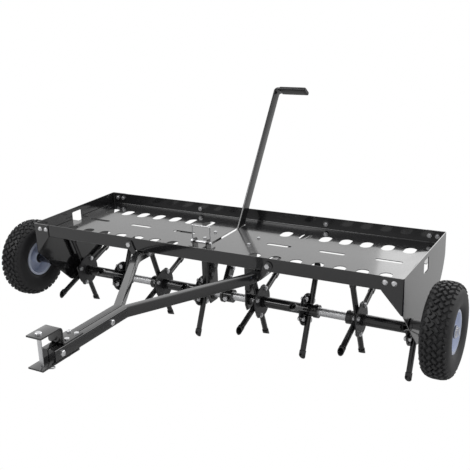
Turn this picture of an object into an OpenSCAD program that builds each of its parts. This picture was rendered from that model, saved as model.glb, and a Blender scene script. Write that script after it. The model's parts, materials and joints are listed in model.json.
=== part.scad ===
// Tow behind plug aerator: weight tray on a rocking axle with two wheels,
// four free turning reels of coring tines, a forked drawbar and a clevis hitch.
// Millimetres, X to the right, Y to the rear, Z up, ground at Z = 0.

/* [Tray] */
// Overall width over the two side plates
tray_w = 1219.2; // [1100:0.1:1500]
// Depth over the front and back walls
tray_d = 414; // [400:1:460]
// Height of the upturned walls
wall_h = 38; // [32:1:60]
// Sheet thickness of the tray
tray_t = 2; // [1.5:0.5:3]
// Inside radius of the tray bends
tray_bend_r = 3; // [2:0.5:5]
// Gap between the end of the tray sheet and a side plate
tray_end_gap = 4; // [4:0.5:8]

/* [Tray slots] */
// Width of one big slot, across the tray
slot_w = 35; // [25:1:45]
// Length of one big slot, front to back
slot_l = 54; // [40:1:60]
// Distance between neighbouring big slots
slot_pitch = 65.5; // [55:0.5:80]
// Distance of the first big slot from the middle
slot_first = 137; // [125:1:150]
// Distance of a slot row from the middle of the tray
slot_row_y = 112; // [95:1:125]
// Bare sheet kept outside the last big slot
slot_edge = 60; // [50:1:90]
// Length of a narrow middle slot
thin_slot_l = 78; // [50:1:100]
// Width of a narrow middle slot
thin_slot_w = 10; // [8:1:14]
// Distance of the first narrow slot from the middle
thin_slot_first = 163; // [140:1:180]
// Distance between the narrow slots
thin_slot_pitch = 170; // [150:1:200]

/* [Side plates] */
// Thickness of a side plate
side_t = 2.5; // [2:0.5:3]
// Metal below the axle centre
side_below_axle = 21; // [18:1:30]
// Height of the bent corner flange
flange_h = 98; // [80:1:120]
// Reach of the corner flange across the tray
flange_w = 58; // [50:1:80]
// Outside radius of the corner bend
side_bend_r = 6; // [4:0.5:6]
// Radius of the big rear curve
side_curve_r = 150; // [110:5:170]
// Width of the hand hole
hand_w = 46; // [40:1:80]
// Height of the hand hole
hand_h = 38; // [34:1:50]
// Depth of the hand hole's top edge below the tray top
hand_drop = 14; // [10:1:20]

/* [Axle and lift lever] */
// Depth of the axle centre below the tray top
axle_drop = 224.7; // [215:0.1:260]
// Distance of the axle behind the middle of the tray
axle_y = -7.6; // [-20:0.1:20]
// Axle diameter
axle_d = 25.4; // [22:0.1:28]
// Width of the flat lift lever
lever_w = 30; // [25:1:36]
// Thickness of the flat lift lever
lever_t = 6; // [5:0.5:8]
// Place of the lever across the tray
lever_x = -33; // [-38:1:-30]
// Lean of the lever to the rear in the working position
lever_lean = 35.5; // [30:0.5:40]
// Distance from the axle to the middle of the grip
lever_l = 722; // [600:1:800]
// Length of the bent grip
grip_l = 105; // [90:1:140]
// Width of the grip sleeve
grip_w = 38; // [36:1:42]
// Thickness of the grip sleeve
grip_t = 12; // [11:0.5:16]

/* [Wheels] */
// Tyre diameter
tyre_d = 254.8; // [230:0.1:270]
// Tyre width
tyre_w = 80; // [70:1:86]
// Distance of the wheel centre from the middle
wheel_x = 698; // [690:1:760]
// Length of a wheel arm between axle and spindle
arm_l = 148.6; // [135:0.1:165]
// Width of a wheel arm
arm_w = 32; // [30:1:40]
// Thickness of a wheel arm
arm_t = 6; // [5:0.5:8]
// Rise of a wheel arm above level in the working position
arm_rise = 30; // [25:1:35]
// Spindle diameter
spindle_d = 16; // [14:0.5:19]
// Rim diameter at the bead
rim_d = 108; // [100:1:114]

/* [Tine reels] */
// Distance of the first tine star from the middle
star_first = 95.4; // [95:0.1:110]
// Distance between the two stars of a reel
star_pitch = 172.6; // [140:0.1:180]
// Distance between the last star and the side plate
star_side_gap = 17.1; // [17:0.1:25]
// Radius that the tine tips sweep
tine_r = 146.8; // [135:0.1:155]
// Width of a tine channel
tine_w = 16; // [14:0.5:17]
// Depth of a tine channel
tine_depth = 12; // [10:0.5:13]
// Wall of a tine
tine_wall = 2.5; // [2:0.25:3]
// Outside diameter of the round coring spoon
spoon_d = 20; // [18:0.5:21]
// Length of the coring spoon
spoon_l = 25; // [22:1:32]
// Slant of the spoon's cut end, in length
spoon_slant = 18; // [10:1:20]
// How far the spoon stands out of the tine's round front
spoon_proud = 0.6; // [0.4:0.1:1]
// Lean of the upper tine of the odd stars to the front
odd_phase = -20; // [-22:0.5:-18]
// Lean of the upper tine of the even stars to the rear
even_phase = 25; // [23:0.5:27]
// Outside diameter of a reel tube
reel_tube_d = 33; // [32:0.5:35]
// Bolt circle radius of a star
star_bolt_r = 42; // [40:0.5:44]
// Diameter of a star plate
star_plate_d = 99; // [96:1:104]
// Thickness of a star plate
star_plate_t = 3.5; // [2.5:0.5:4]
// Thickness of a tine's bolted ear
tine_ear_t = 3; // [2:0.5:4]

/* [Drawbar and hitch] */
// Outside size of the square drawbar tube
bar_s = 25.4; // [22:0.1:28]
// Wall of the drawbar tube
bar_wall = 2; // [1.5:0.25:3]
// Gap between the two tubes at the hitch
bar_gap = 2.6; // [1:0.1:4]
// Front end of the tubes, ahead of the middle of the tray
bar_front = 832; // [800:1:900]
// Start of the fork, ahead of the middle of the tray
fork_y = 575; // [540:1:620]
// Distance of the tubes from the middle under the tray
rail_x = 196; // [185:1:205]
// End of the fork, ahead of the middle of the tray
fork_end_y = 225; // [222:1:260]
// Front edge of the hitch plates, ahead of the middle of the tray
hitch_front = 869; // [860:1:940]
// Length of the hitch plates' foot on the drawbar tubes
hitch_foot = 110; // [100:1:120]
// Width of the hitch plates
hitch_w = 50; // [46:1:54]
// Thickness of the hitch plates
hitch_t = 5; // [4:0.5:6]
// Clear height between the hitch plates
hitch_gap = 67.4; // [60:0.1:80]
// Hitch pin diameter
hitch_pin_d = 12.7; // [11:0.1:16]
// Distance of the hitch pin from the plates' front edge
hitch_pin_in = 21; // [18:0.5:24]

/* [Hangers] */
// Distance of a hanger web's inner face from the middle
hanger_x = 64; // [60:0.5:64]
// Thickness of a hanger
hanger_t = 4; // [3:0.5:4.5]
// Front edge of a hanger, ahead of the middle of the tray
hanger_front = 42; // [40:1:46]
// Rear edge of a hanger at the tray
hanger_back = 52; // [48:1:60]
// Metal of a hanger below the axle centre
hanger_below_axle = 28; // [25:1:35]
// Width of a hanger's bent flanges
hanger_flange = 16; // [15:1:17]

/* [Lock pin] */
// Place of the lock pin's lugs across the tray
lock_x = -42; // [-44:1:-38]
// Lock pin diameter
lock_pin_d = 9; // [8:0.5:10]
// Height of the lock pin above the tray floor
lock_pin_rise = 16.5; // [15:0.5:18]
// Place of the lock pin ahead of the middle of the tray
lock_pin_front = 103; // [103:1:110]
// Height of the wire bail
bail_h = 50; // [40:1:60]
// Wire diameter of the bail and the clip
wire_d = 3; // [2.5:0.5:4]

/* [Fits] */
// Radial clearance of a running fit
run_c = 0.08; // [0.05:0.01:0.1]
// Radial clearance of a piece that is seated
seat_c = 0.05; // [0.02:0.01:0.1]
// Side clearance between pieces that turn past each other
side_c = 1; // [0.5:0.1:1.5]
// Radial clearance of a bolt in its hole
bolt_c = 0.25; // [0.1:0.05:0.5]

/* [Hidden] */
$fn = 48;
half_w = tray_w / 2;
half_d = tray_d / 2;
black = "#1c1c1e";
zinc = "#c9ccd0";

// Standard fastener sizes: shank diameter, width across flats, head height
m6 = [6, 10, 4];
m8 = [8, 13, 5.3];
m10 = [10, 16, 6.4];
button_h = 4;
button_d = 15;
washer_t = 2;

// Heights in the tray's frame, with 0 at the top edge of the tray
floor_z = -wall_h;
under_z = floor_z - tray_t;
bar_z = under_z - bar_s / 2;
axle_zt = -axle_drop;
side_bottom = axle_zt - side_below_axle;
side_curve_drop = 25;
side_foot_r = 22;
hand_y = axle_y + 5;
hand_r = 4;

// Ends and stars along the axle
side_in = half_w - side_t;
arm_gap = 2.4;
arm_x0 = half_w + arm_gap;
arm_x1 = arm_x0 + arm_t;
star_x = [star_first, star_first + star_pitch,
    side_in - star_side_gap - star_pitch, side_in - star_side_gap];
ear_lap = 1;
ear_x = tine_w / 2 + tine_ear_t;
hub_sleeve_r = 18;
hub_in = ear_x + star_plate_t + 12;
ear_r = 11;
tine_root = hub_sleeve_r + 1;
bush_r = 16;
bush_flange_r = 20;
bush_flange_t = 3;
collar_w = 15;
collar_r = 20;
tube_out = 15;
inner_tube = [hanger_x + hanger_t + side_c, star_x[1] + tube_out];
outer_tube = [star_x[2] - tube_out, side_in - bush_flange_t - side_c];
axle_half = arm_x1 + 2;

// Spoon and ground
spoon_r = spoon_d / 2;
bore_r = spoon_r - tine_wall;
back_r = tine_w / 2;
lead_y = -back_r - spoon_proud;
function drop(angle, r, side) = side * sin(angle) - r * cos(angle);
ground_drop = max([for (phase = [odd_phase, even_phase], k = [0:3]) drop(phase + 90 * k, tine_r, lead_y)]);
tray_top_z = axle_drop + ground_drop;

// Wheels
wheel_y = axle_y - arm_l * cos(arm_rise);
wheel_z = axle_zt + arm_l * sin(arm_rise);
hub_half = 28;
hub_r = 19;
bearing_r = 13;
bearing_flange_t = 1.5;

// Middle of the part from front to back
grip_round = 4;
lever_dir = [sin(lever_lean), cos(lever_lean)];
back_y = axle_y + (lever_l + grip_t / 2 - grip_round) * lever_dir.x
    + (grip_w / 2 - grip_round) * lever_dir.y + grip_round;
mid_y = (back_y - hitch_front) / 2;

// Lever slot and lock pin
lever_slot_w = 14;
lever_slot_end = 6;
lock_dy = lock_pin_front + axle_y;
lock_dz = axle_drop - wall_h + lock_pin_rise;
lock_lean = atan(lock_dy / lock_dz);
lock_r = norm([lock_dy, lock_dz]);
function slot_reach(lean) = (axle_drop - wall_h) * tan(lean) + lever_w / 2 / cos(lean) + lever_slot_end;
lever_slot_back = axle_y + slot_reach(lever_lean);
lever_slot_front = axle_y - slot_reach(lock_lean);
lug_t = 4;
lug_gap = 42;
lug_w = 26;
lock_pin_z = floor_z + lock_pin_rise;

// Hitch
hitch_top_z = under_z - bar_s + hitch_gap;
hitch_pin_y = -hitch_front + hitch_pin_in;
hitch_foot_back = bar_front - hitch_foot;
hitch_web_y = -bar_front + 31;
bar_x = (bar_s + bar_gap) / 2;
side_bolt_y = [-805, -628];
foot_bolt_y = [-hitch_foot_back - 54, -hitch_foot_back - 19];

// Places that follow from the above
hanger_bolt_y = [-27, 38];
hanger_bolt_x = hanger_x + hanger_t + 9;
corner_bolt_x = [half_w - 24.6, half_w - 48.6];
corner_bolt_z = -16;
bracket_bolt_x = rail_x + 36;
bracket_bolt_z = -21;
bracket_t = 4;

module placed() {
    translate([0, -mid_y, tray_top_z]) children();
}

// Turns an outline drawn in Y and Z into a sheet whose thickness runs along X
module sheet_x(thick) {
    rotate([90, 0, 90]) linear_extrude(thick) children();
}

module rod_x(r, x0, x1) {
    translate([x0, 0, 0]) rotate([0, 90, 0]) cylinder(r = r, h = x1 - x0);
}

module rod_y(r, y0, y1) {
    translate([0, y0, 0]) rotate([-90, 0, 0]) cylinder(r = r, h = y1 - y0);
}

module rounded_rect(w, h, r) {
    square([w - 2 * r, h], center = true);
    square([w, h - 2 * r], center = true);
    for (sx = [-1, 1], sy = [-1, 1]) translate([sx * (w / 2 - r), sy * (h / 2 - r)]) circle(r);
}

module obround(w, l) {
    r = min(w, l) / 2;
    a = max(w, l) / 2 - r;
    rotate(w > l ? 0 : 90) {
        square([2 * a, 2 * r], center = true);
        for (s = [-1, 1]) translate([s * a, 0]) circle(r);
    }
}

// Shank and hexagon head, head below Z = 0, shank up
module hex_bolt(size, shank) {
    cylinder(d = size[0], h = shank);
    translate([0, 0, -size[2]]) cylinder(d = size[1] / cos(30), h = size[2], $fn = 6);
}

module button_bolt(size, shank) {
    cylinder(d = size[0], h = shank);
    translate([0, 0, -button_h]) cylinder(d1 = button_d * 0.55, d2 = button_d, h = button_h);
}

module hex_nut(size) {
    difference() {
        cylinder(d = size[1] / cos(30), h = size[2], $fn = 6);
        translate([0, 0, -1]) cylinder(d = size[0] + 2 * seat_c, h = size[2] + 2);
    }
}

// Bolt with its nut, gripping a stack of the given thickness from Z = 0 up
module bolted(size, grip) {
    hex_bolt(size, grip + size[2] + 2);
    translate([0, 0, grip]) hex_nut(size);
}

function unit(v) = v / norm(v);
function wrap(a) = a > 180 ? a - 360 : a < -180 ? a + 360 : a;
function corner_arc(a, b, c, r, n) = let(
        u = unit(a - b),
        w = unit(c - b),
        half = acos(u * w) / 2,
        mid = b + unit(u + w) * r / sin(half),
        p = b + u * r / tan(half) - mid,
        q = b + w * r / tan(half) - mid,
        a0 = atan2(p.y, p.x),
        sweep = wrap(atan2(q.y, q.x) - a0))
    [for (i = [0:n]) mid + r * [cos(a0 + sweep * i / n), sin(a0 + sweep * i / n)]];
// Corners of a path, each rounded with radius r
function soft_path(pts, r, n = 8) = [pts[0],
    for (i = [1:len(pts) - 2]) each corner_arc(pts[i - 1], pts[i], pts[i + 1], r, n),
    pts[len(pts) - 1]];
function path_dir(p, i) = let(
        last = len(p) - 1,
        before = unit(p[max(i, 1)] - p[max(i, 1) - 1]),
        after = unit(p[min(i + 1, last)] - p[min(i, last - 1)]))
    unit(before + after);
function side_line(p, off) = [for (i = [0:len(p) - 1]) let(
        d = path_dir(p, i),
        e = i == 0 ? d : unit(p[i] - p[i - 1]))
    p[i] + [-d.y, d.x] * off / (d * e)];
function backwards(p) = [for (i = [len(p) - 1:-1:0]) p[i]];
// Outline of a strip that reaches from offset a to offset b beside a path
function strip(p, a, b) = concat(side_line(p, a), backwards(side_line(p, b)));

module tray_profile() {
    ro = tray_bend_r + tray_t;
    translate([-half_d + ro, -wall_h - tray_t]) square([tray_d - 2 * ro, tray_t]);
    for (s = [-1, 1]) {
        translate([s * (half_d - tray_t / 2) - tray_t / 2, -wall_h - tray_t + ro])
            square([tray_t, wall_h + tray_t - ro]);
        translate([s * (half_d - ro), -wall_h - tray_t + ro]) intersection() {
            difference() {
                circle(ro);
                circle(tray_bend_r);
            }
            translate([s > 0 ? 0 : -ro, -ro]) square(ro);
        }
    }
}

slot_count = floor((half_w - slot_edge - slot_first) / slot_pitch) + 1;
thin_count = floor((half_w - slot_edge - thin_slot_first - thin_slot_l / 2) / thin_slot_pitch) + 1;

module tray_slots() {
    for (s = [-1, 1]) {
        for (i = [0:slot_count - 1], row = [-1, 1])
            translate([s * (slot_first + i * slot_pitch), row * slot_row_y])
                obround(slot_w, slot_l);
        for (i = [0:thin_count - 1])
            translate([s * (thin_slot_first + i * thin_slot_pitch), 4])
                obround(thin_slot_l, thin_slot_w);
    }
    translate([lever_x, (lever_slot_back + lever_slot_front) / 2])
        obround(lever_slot_w, lever_slot_back - lever_slot_front);
}

module tray() {
    end_x = side_in - tray_end_gap;
    notch_w = hand_w + 6;
    notch_in = 24;
    color(black) placed() difference() {
        translate([-end_x, 0, 0]) sheet_x(2 * end_x) tray_profile();
        translate([0, 0, under_z - 1]) linear_extrude(tray_t + 2) tray_slots();
        for (s = [-1, 1]) {
            translate([s * end_x - notch_in, hand_y - notch_w / 2, under_z - 1])
                cube([2 * notch_in, notch_w, tray_t + 2]);
            for (y = hanger_bolt_y) translate([s * hanger_bolt_x, y, under_z - 1])
                cylinder(d = m6[0] + 2 * bolt_c, h = tray_t + 2);
            for (x = corner_bolt_x) translate([s * x, 0, corner_bolt_z])
                rod_y(m8[0] / 2 + bolt_c, -half_d - 1, half_d + 1);
            translate([s * bracket_bolt_x, 0, bracket_bolt_z])
                rod_y(m8[0] / 2 + bolt_c, -half_d - 1, half_d + 1);
        }
    }
}

module side_outline() {
    yf = -half_d - side_t;
    yb = -yf;
    cy = yb - side_curve_r;
    cz = -side_curve_drop;
    ty = cy + side_curve_r * cos(45);
    tz = cz - side_curve_r * sin(45);
    foot_f = [yf + (-side_bottom - flange_h), side_bottom];
    foot_b = [ty - (tz - side_bottom), side_bottom];
    front = [yf, -flange_h];
    polygon(concat(
        [[yf, 1]],
        [front],
        corner_arc(front, foot_f, foot_b, side_foot_r, 6),
        corner_arc(foot_f, foot_b, [ty, tz], side_foot_r, 6),
        [for (i = [0:10]) let(a = -45 + 4.5 * i) [cy + side_curve_r * cos(a), cz + side_curve_r * sin(a)]],
        [[yb, 1]]));
}

// Plan of the right hand side plate: web with a bent flange at each end
module side_plan() {
    long = tray_d + 2 * side_t;
    translate([half_w - flange_w, 0]) intersection() {
        difference() {
            rounded_rect(2 * flange_w, long, side_bend_r);
            rounded_rect(2 * (flange_w - side_t), long - 2 * side_t, side_bend_r - side_t);
        }
        translate([0, -long]) square([2 * flange_w, 2 * long]);
    }
}

// Right hand side plate; the left one is its mirror image
module side_plate() {
    difference() {
        intersection() {
            translate([0, 0, side_bottom - 1]) linear_extrude(1 - side_bottom) side_plan();
            translate([half_w - flange_w - 1, 0, 0]) sheet_x(flange_w + 2) side_outline();
        }
        // the flanges get lower towards the corner
        rotate([90, 0, 0]) linear_extrude(2 * tray_d, center = true) polygon([
            [half_w - flange_w - 1, floor_z],
            [half_w - side_bend_r, -flange_h],
            [half_w - side_bend_r, 2 * side_bottom],
            [half_w - flange_w - 1, 2 * side_bottom]]);
        translate([side_in - 1, axle_y, axle_zt]) rod_x(bush_r + seat_c, 0, side_t + 2);
        translate([side_in - 1, hand_y, -hand_drop - hand_h / 2])
            sheet_x(side_t + 2) rounded_rect(hand_w, hand_h, hand_r);
        for (x = corner_bolt_x) translate([x, 0, corner_bolt_z])
            rod_y(m8[0] / 2 + bolt_c, -half_d - side_t - 1, half_d + side_t + 1);
    }
}

module side_plate_left() {
    color(black) placed() mirror([1, 0, 0]) side_plate();
}

module side_plate_right() {
    color(black) placed() side_plate();
}

// Right hand hanger: web beside the middle of the axle, bent flanges at the front and top
module hanger() {
    bottom = axle_zt - hanger_below_axle;
    high = under_z - bottom;
    foot_half = 27;
    ri = 3;
    ro = ri + hanger_t;
    x1 = hanger_x + hanger_t + hanger_flange;
    flange_low = bottom + high / 3;
    difference() {
        union() {
            translate([hanger_x, 0, 0]) sheet_x(hanger_t) polygon([
                [-hanger_front + ro, under_z - ro],
                [-hanger_front + ro, flange_low],
                [-hanger_front + 3, bottom + 20],
                [-hanger_front + 12, bottom],
                [axle_y + foot_half - 8, bottom],
                [axle_y + foot_half, bottom + 8],
                [axle_y + foot_half, bottom + 0.48 * high],
                [hanger_back, under_z - 30],
                [hanger_back, under_z - ro]]);
            translate([hanger_x + ro, hanger_back, under_z - ro]) rotate([90, 0, 0])
                linear_extrude(hanger_back + hanger_front - ro) intersection() {
                difference() {
                    circle(ro);
                    circle(ri);
                }
                translate([-ro, 0]) square(ro);
            }
            translate([hanger_x + ro, -hanger_front + ro, under_z - hanger_t])
                cube([x1 - hanger_x - ro, hanger_back + hanger_front - ro, hanger_t]);
            translate([hanger_x + ro, -hanger_front + ro, flange_low]) intersection() {
                difference() {
                    cylinder(r = ro, h = under_z - ro - flange_low);
                    translate([0, 0, -1]) cylinder(r = ri, h = under_z - ro - flange_low + 2);
                }
                translate([-ro, -ro, -1]) cube([ro, ro, high]);
            }
            translate([hanger_x + ro, -hanger_front, flange_low])
                cube([x1 - hanger_x - ro, hanger_t, under_z - ro - flange_low]);
        }
        translate([hanger_x - 1, axle_y, axle_zt]) rod_x(bush_r + seat_c, 0, hanger_t + 2);
        for (y = hanger_bolt_y) translate([hanger_bolt_x, y, under_z - hanger_t - 1])
            cylinder(d = m6[0] + 2 * bolt_c, h = hanger_t + 2);
    }
}

module hanger_left() {
    color(black) placed() mirror([1, 0, 0]) hanger();
}

module hanger_right() {
    color(black) placed() hanger();
}

// Flanged bush whose collar lies against the plate face at X = 0, body running to +X
module bush(plate_t) {
    difference() {
        union() {
            rod_x(bush_r, -bush_flange_t, plate_t);
            rod_x(bush_flange_r, -bush_flange_t, 0);
        }
        rod_x(axle_d / 2 + run_c, -bush_flange_t - 1, plate_t + 1);
    }
}

module axle_bushes() {
    color("#2a2a2c") placed() for (s = [0, 1]) mirror([s, 0, 0]) {
        translate([hanger_x, axle_y, axle_zt]) bush(hanger_t);
        translate([side_in, axle_y, axle_zt]) bush(side_t);
    }
}

// Plan of the right hand tube: beside the middle, out along the fork, back under the tray
bar_bend_r = 45;
bar_path = soft_path([
    [bar_x, -bar_front],
    [bar_x, -fork_y],
    [rail_x, -fork_end_y],
    [rail_x, half_d - tray_t - bracket_t - 1]], bar_bend_r);

module drawbar_tube() {
    inner = bar_s / 2 - bar_wall;
    difference() {
        translate([0, 0, bar_z - bar_s / 2]) linear_extrude(bar_s)
            polygon(strip(bar_path, -bar_s / 2, bar_s / 2));
        translate([0, 0, bar_z - inner]) linear_extrude(2 * inner) union() {
            polygon(strip(bar_path, -inner, inner));
            translate([bar_x - inner, -bar_front - 1]) square([2 * inner, 20]);
            translate([rail_x - inner, half_d - 30]) square([2 * inner, 40]);
        }
        for (y = side_bolt_y) translate([0, y, bar_z])
            rod_x(m10[0] / 2 + bolt_c, -1, bar_s + bar_gap + 2);
        for (y = foot_bolt_y) translate([bar_x, y, bar_z - bar_s])
            cylinder(d = m8[0] + 2 * bolt_c, h = 2 * bar_s);
        for (s = [-1, 1]) translate([rail_x, s * (half_d - 26), bar_z])
            rod_x(m8[0] / 2 + bolt_c, -bar_s, bar_s);
    }
}

module drawbar_tube_left() {
    color(black) placed() mirror([1, 0, 0]) drawbar_tube();
}

module drawbar_tube_right() {
    color(black) placed() drawbar_tube();
}

// Angle bracket beside a tube: one leg on the tube, one leg up the tray's end wall
module bracket(front) {
    s = front ? -1 : 1;
    x0 = rail_x + bar_s / 2;
    y0 = front ? -half_d - bracket_t : half_d;
    y1 = s * (half_d - 44);
    difference() {
        union() {
            translate([x0, min(y1, s * half_d + (front ? -bracket_t : 0)), bar_z - bar_s / 2 + 2])
                cube([bracket_t, abs(y1 - s * half_d) + bracket_t, bar_s - 4]);
            translate([x0, y0 + bracket_t, 0]) rotate([90, 0, 0]) linear_extrude(bracket_t) {
                polygon([
                    [0, bar_z - bar_s / 2 + 2],
                    [bracket_t, bar_z - bar_s / 2 + 2],
                    [bracket_bolt_x - x0 + 13, bracket_bolt_z],
                    [bracket_bolt_x - x0 - 13, bracket_bolt_z],
                    [0, bar_z + bar_s / 2 - 2]]);
                translate([bracket_bolt_x - x0, bracket_bolt_z]) circle(13);
            }
        }
        translate([bracket_bolt_x, 0, bracket_bolt_z])
            rod_y(m8[0] / 2 + bolt_c, -half_d - 10, half_d + 10);
        translate([x0, s * (half_d - 26), bar_z]) rod_x(m8[0] / 2 + bolt_c, -1, bracket_t + 1);
    }
}

module drawbar_brackets() {
    color(black) placed() for (m = [0, 1], front = [true, false]) mirror([m, 0, 0]) bracket(front);
}

// Upper hitch plate: bent strip that steps up from the tubes to the top of the clevis
module hitch_plate_upper() {
    path = soft_path([
        [-hitch_foot_back, under_z + hitch_t / 2],
        [hitch_web_y, under_z + hitch_t / 2],
        [hitch_web_y, hitch_top_z + hitch_t / 2],
        [-hitch_front + 6, hitch_top_z + hitch_t / 2]], 7, 6);
    color(black) placed() difference() {
        translate([-hitch_w / 2, 0, 0]) sheet_x(hitch_w)
            polygon(strip(path, -hitch_t / 2, hitch_t / 2));
        translate([0, hitch_pin_y, hitch_top_z - 1])
            cylinder(r = hitch_pin_d / 2 + run_c, h = hitch_t + 2);
        for (s = [-1, 1], y = foot_bolt_y) translate([s * bar_x, y, under_z - 1])
            cylinder(d = m8[0] + 2 * bolt_c, h = hitch_t + 2);
    }
}

module hitch_plate_lower() {
    z1 = under_z - bar_s;
    color(black) placed() difference() {
        translate([0, -(hitch_front + hitch_foot_back) / 2, z1 - hitch_t]) linear_extrude(hitch_t)
            rounded_rect(hitch_w, hitch_front - hitch_foot_back, 5);
        translate([0, hitch_pin_y, z1 - hitch_t - 1])
            cylinder(r = hitch_pin_d / 2 + run_c, h = hitch_t + 2);
        for (s = [-1, 1], y = foot_bolt_y) translate([s * bar_x, y, z1 - hitch_t - 1])
            cylinder(d = m8[0] + 2 * bolt_c, h = hitch_t + 2);
    }
}

// Two upright ears beside the lever slot, each with a small foot on the tray floor
module lock_pin_lugs() {
    top = lock_pin_z + 12;
    color(black) placed() for (s = [-1, 1]) difference() {
        union() {
            translate([lock_x + s * (lug_gap / 2 + lug_t / 2) - lug_t / 2, -lock_pin_front, 0])
                sheet_x(lug_t) union() {
                translate([-lug_w / 2, floor_z]) square([lug_w, lock_pin_rise]);
                translate([0, lock_pin_z]) circle(12);
            }
            translate([lock_x + s * (lug_gap / 2 + 9) - 9, -lock_pin_front - lug_w / 2, floor_z])
                cube([18, lug_w, lug_t]);
        }
        translate([lock_x, -lock_pin_front, lock_pin_z]) rod_x(lock_pin_d / 2 + run_c, -60, 60);
    }
}

// Corner bolts through flange and wall
module tray_bolts() {
    grip = side_t + tray_t;
    color(zinc) placed() for (m = [0, 1], s = [-1, 1], x = corner_bolt_x) mirror([m, 0, 0])
        translate([x, s * (half_d + side_t), corner_bolt_z]) rotate([s * 90, 0, 0]) {
            button_bolt(m8, grip + m8[2] + 2);
            translate([0, 0, grip]) hex_nut(m8);
        }
}

module hanger_bolts() {
    grip = tray_t + hanger_t;
    color(zinc) placed() for (m = [0, 1], y = hanger_bolt_y) mirror([m, 0, 0])
        translate([hanger_bolt_x, y, floor_z]) rotate([180, 0, 0]) bolted(m6, grip);
}

// Bolts that hold the tubes' brackets to the tray walls and to the tubes
module bracket_bolts() {
    grip = bracket_t + tray_t;
    color(zinc) placed() for (m = [0, 1], s = [-1, 1]) mirror([m, 0, 0]) {
        translate([bracket_bolt_x, s * (half_d + bracket_t), bracket_bolt_z]) rotate([s * 90, 0, 0])
            bolted(m8, grip);
        translate([rail_x - bar_s / 2, s * (half_d - 26), bar_z]) rotate([0, 90, 0])
            bolted(m8, bar_s + bracket_t);
    }
}

module drawbar_bolts() {
    color(zinc) placed() for (y = side_bolt_y)
        translate([bar_x + bar_s / 2, y, bar_z]) rotate([0, -90, 0])
            bolted(m10, 2 * bar_s + bar_gap);
}

module hitch_bolts() {
    color(zinc) placed() for (s = [-1, 1], y = foot_bolt_y)
        translate([s * bar_x, y, under_z + hitch_t]) rotate([180, 0, 0])
            bolted(m8, bar_s + 2 * hitch_t);
}

lock_pin_x = [lock_x - lug_gap / 2 - lug_t - 9, lock_x + lug_gap / 2 + lug_t + 9];

module lock_pin() {
    color(zinc) placed() translate([0, -lock_pin_front, lock_pin_z]) difference() {
        union() {
            rod_x(lock_pin_d / 2, lock_pin_x[0], lock_pin_x[1]);
            rod_x(lock_pin_d / 2 + 3, lock_pin_x[0], lock_pin_x[0] + 7);
        }
        for (x = [lock_pin_x[0] + 3.5, lock_pin_x[1] - 3.5]) translate([x, 0, -20])
            cylinder(r = wire_d / 2 + seat_c, h = 40);
    }
}

// Square wire bail that snaps over the pin's end
module lock_pin_bail() {
    x0 = lock_pin_x[0] + 3.5;
    x1 = lock_pin_x[1] - 3.5;
    color(zinc) placed() translate([0, -lock_pin_front, lock_pin_z]) union() {
        for (x = [x0, x1]) {
            translate([x, 0, -lock_pin_d / 2 + 1])
                cylinder(d = wire_d, h = bail_h + lock_pin_d / 2 - 1, $fn = 24);
            translate([x, 0, bail_h]) sphere(d = wire_d, $fn = 24);
        }
        translate([0, 0, bail_h]) rod_x(wire_d / 2, x0, x1);
    }
}

clip_z = under_z - bar_s - hitch_t - 7;

module hitch_pin() {
    top = hitch_top_z + hitch_t;
    color(zinc) placed() translate([0, hitch_pin_y, 0]) difference() {
        union() {
            translate([0, 0, clip_z - 9]) cylinder(d = hitch_pin_d, h = top - clip_z + 9);
            translate([0, 0, clip_z - 12]) cylinder(d1 = hitch_pin_d - 5, d2 = hitch_pin_d, h = 3);
            translate([0, 0, top]) cylinder(d = hitch_pin_d + 9, h = 5);
        }
        translate([0, 0, clip_z]) rotate([0, 0, 30]) rod_x(wire_d / 2 + 0.1, -20, 20);
    }
}

// Hairpin clip: straight leg through the pin, ring at the back, outer leg beside the pin
module hitch_pin_clip() {
    ring_r = 8;
    leg = 22;
    gap = hitch_pin_d / 2 + wire_d / 2 + 0.6;
    color(zinc) placed() translate([0, hitch_pin_y, clip_z]) rotate([0, 0, 30]) {
        union() {
            rod_x(wire_d / 2, -leg, leg);
            translate([leg, gap / 2, 0]) rotate([0, 0, -90]) rotate_extrude(angle = 180)
                translate([gap / 2, 0]) circle(d = wire_d);
            translate([0, gap, 0]) rod_x(wire_d / 2, -leg + 8, leg);
        }
    }
}

module main_axle() {
    color(zinc) placed() translate([0, axle_y, axle_zt]) rod_x(axle_d / 2, -axle_half, axle_half);
}

// Set collars that keep the reels in place
module axle_collars() {
    places = [inner_tube[1] + side_c / 2, outer_tube[0] - side_c / 2 - collar_w];
    color(black) placed() for (m = [0, 1], x = places)
        mirror([m, 0, 0]) translate([x, axle_y, axle_zt]) difference() {
            union() {
                rod_x(collar_r, 0, collar_w);
                translate([collar_w / 2, 0, 0]) cylinder(d = m6[1] - 2, h = collar_r + 2);
            }
            rod_x(axle_d / 2 + seat_c, -1, collar_w + 1);
        }
}

module wheel_arm() {
    translate([arm_x0, axle_y, axle_zt]) rotate([-arm_rise, 0, 0]) difference() {
        union() {
            sheet_x(arm_t) union() {
                translate([-arm_l, -arm_w / 2]) square([arm_l, arm_w]);
                circle(arm_w / 2 + 4);
                translate([-arm_l, 0]) circle(arm_w / 2);
            }
            translate([0, -arm_l, 0]) rod_x(spindle_d / 2 + 5, arm_t, wheel_x - hub_half - side_c - arm_x0);
        }
        rod_x(axle_d / 2 + seat_c, -1, arm_t + 1);
        translate([0, -arm_l, 0]) rod_x(spindle_d / 2 + seat_c, -1, wheel_x);
        translate([0, -arm_l / 2, 0]) rod_x(m10[0] / 2 + bolt_c, -1, arm_t + 1);
    }
}

module wheel_arm_left() {
    color(black) placed() mirror([1, 0, 0]) wheel_arm();
}

module wheel_arm_right() {
    color(black) placed() wheel_arm();
}

spindle_end = wheel_x + hub_half + washer_t + side_c + 7;

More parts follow.
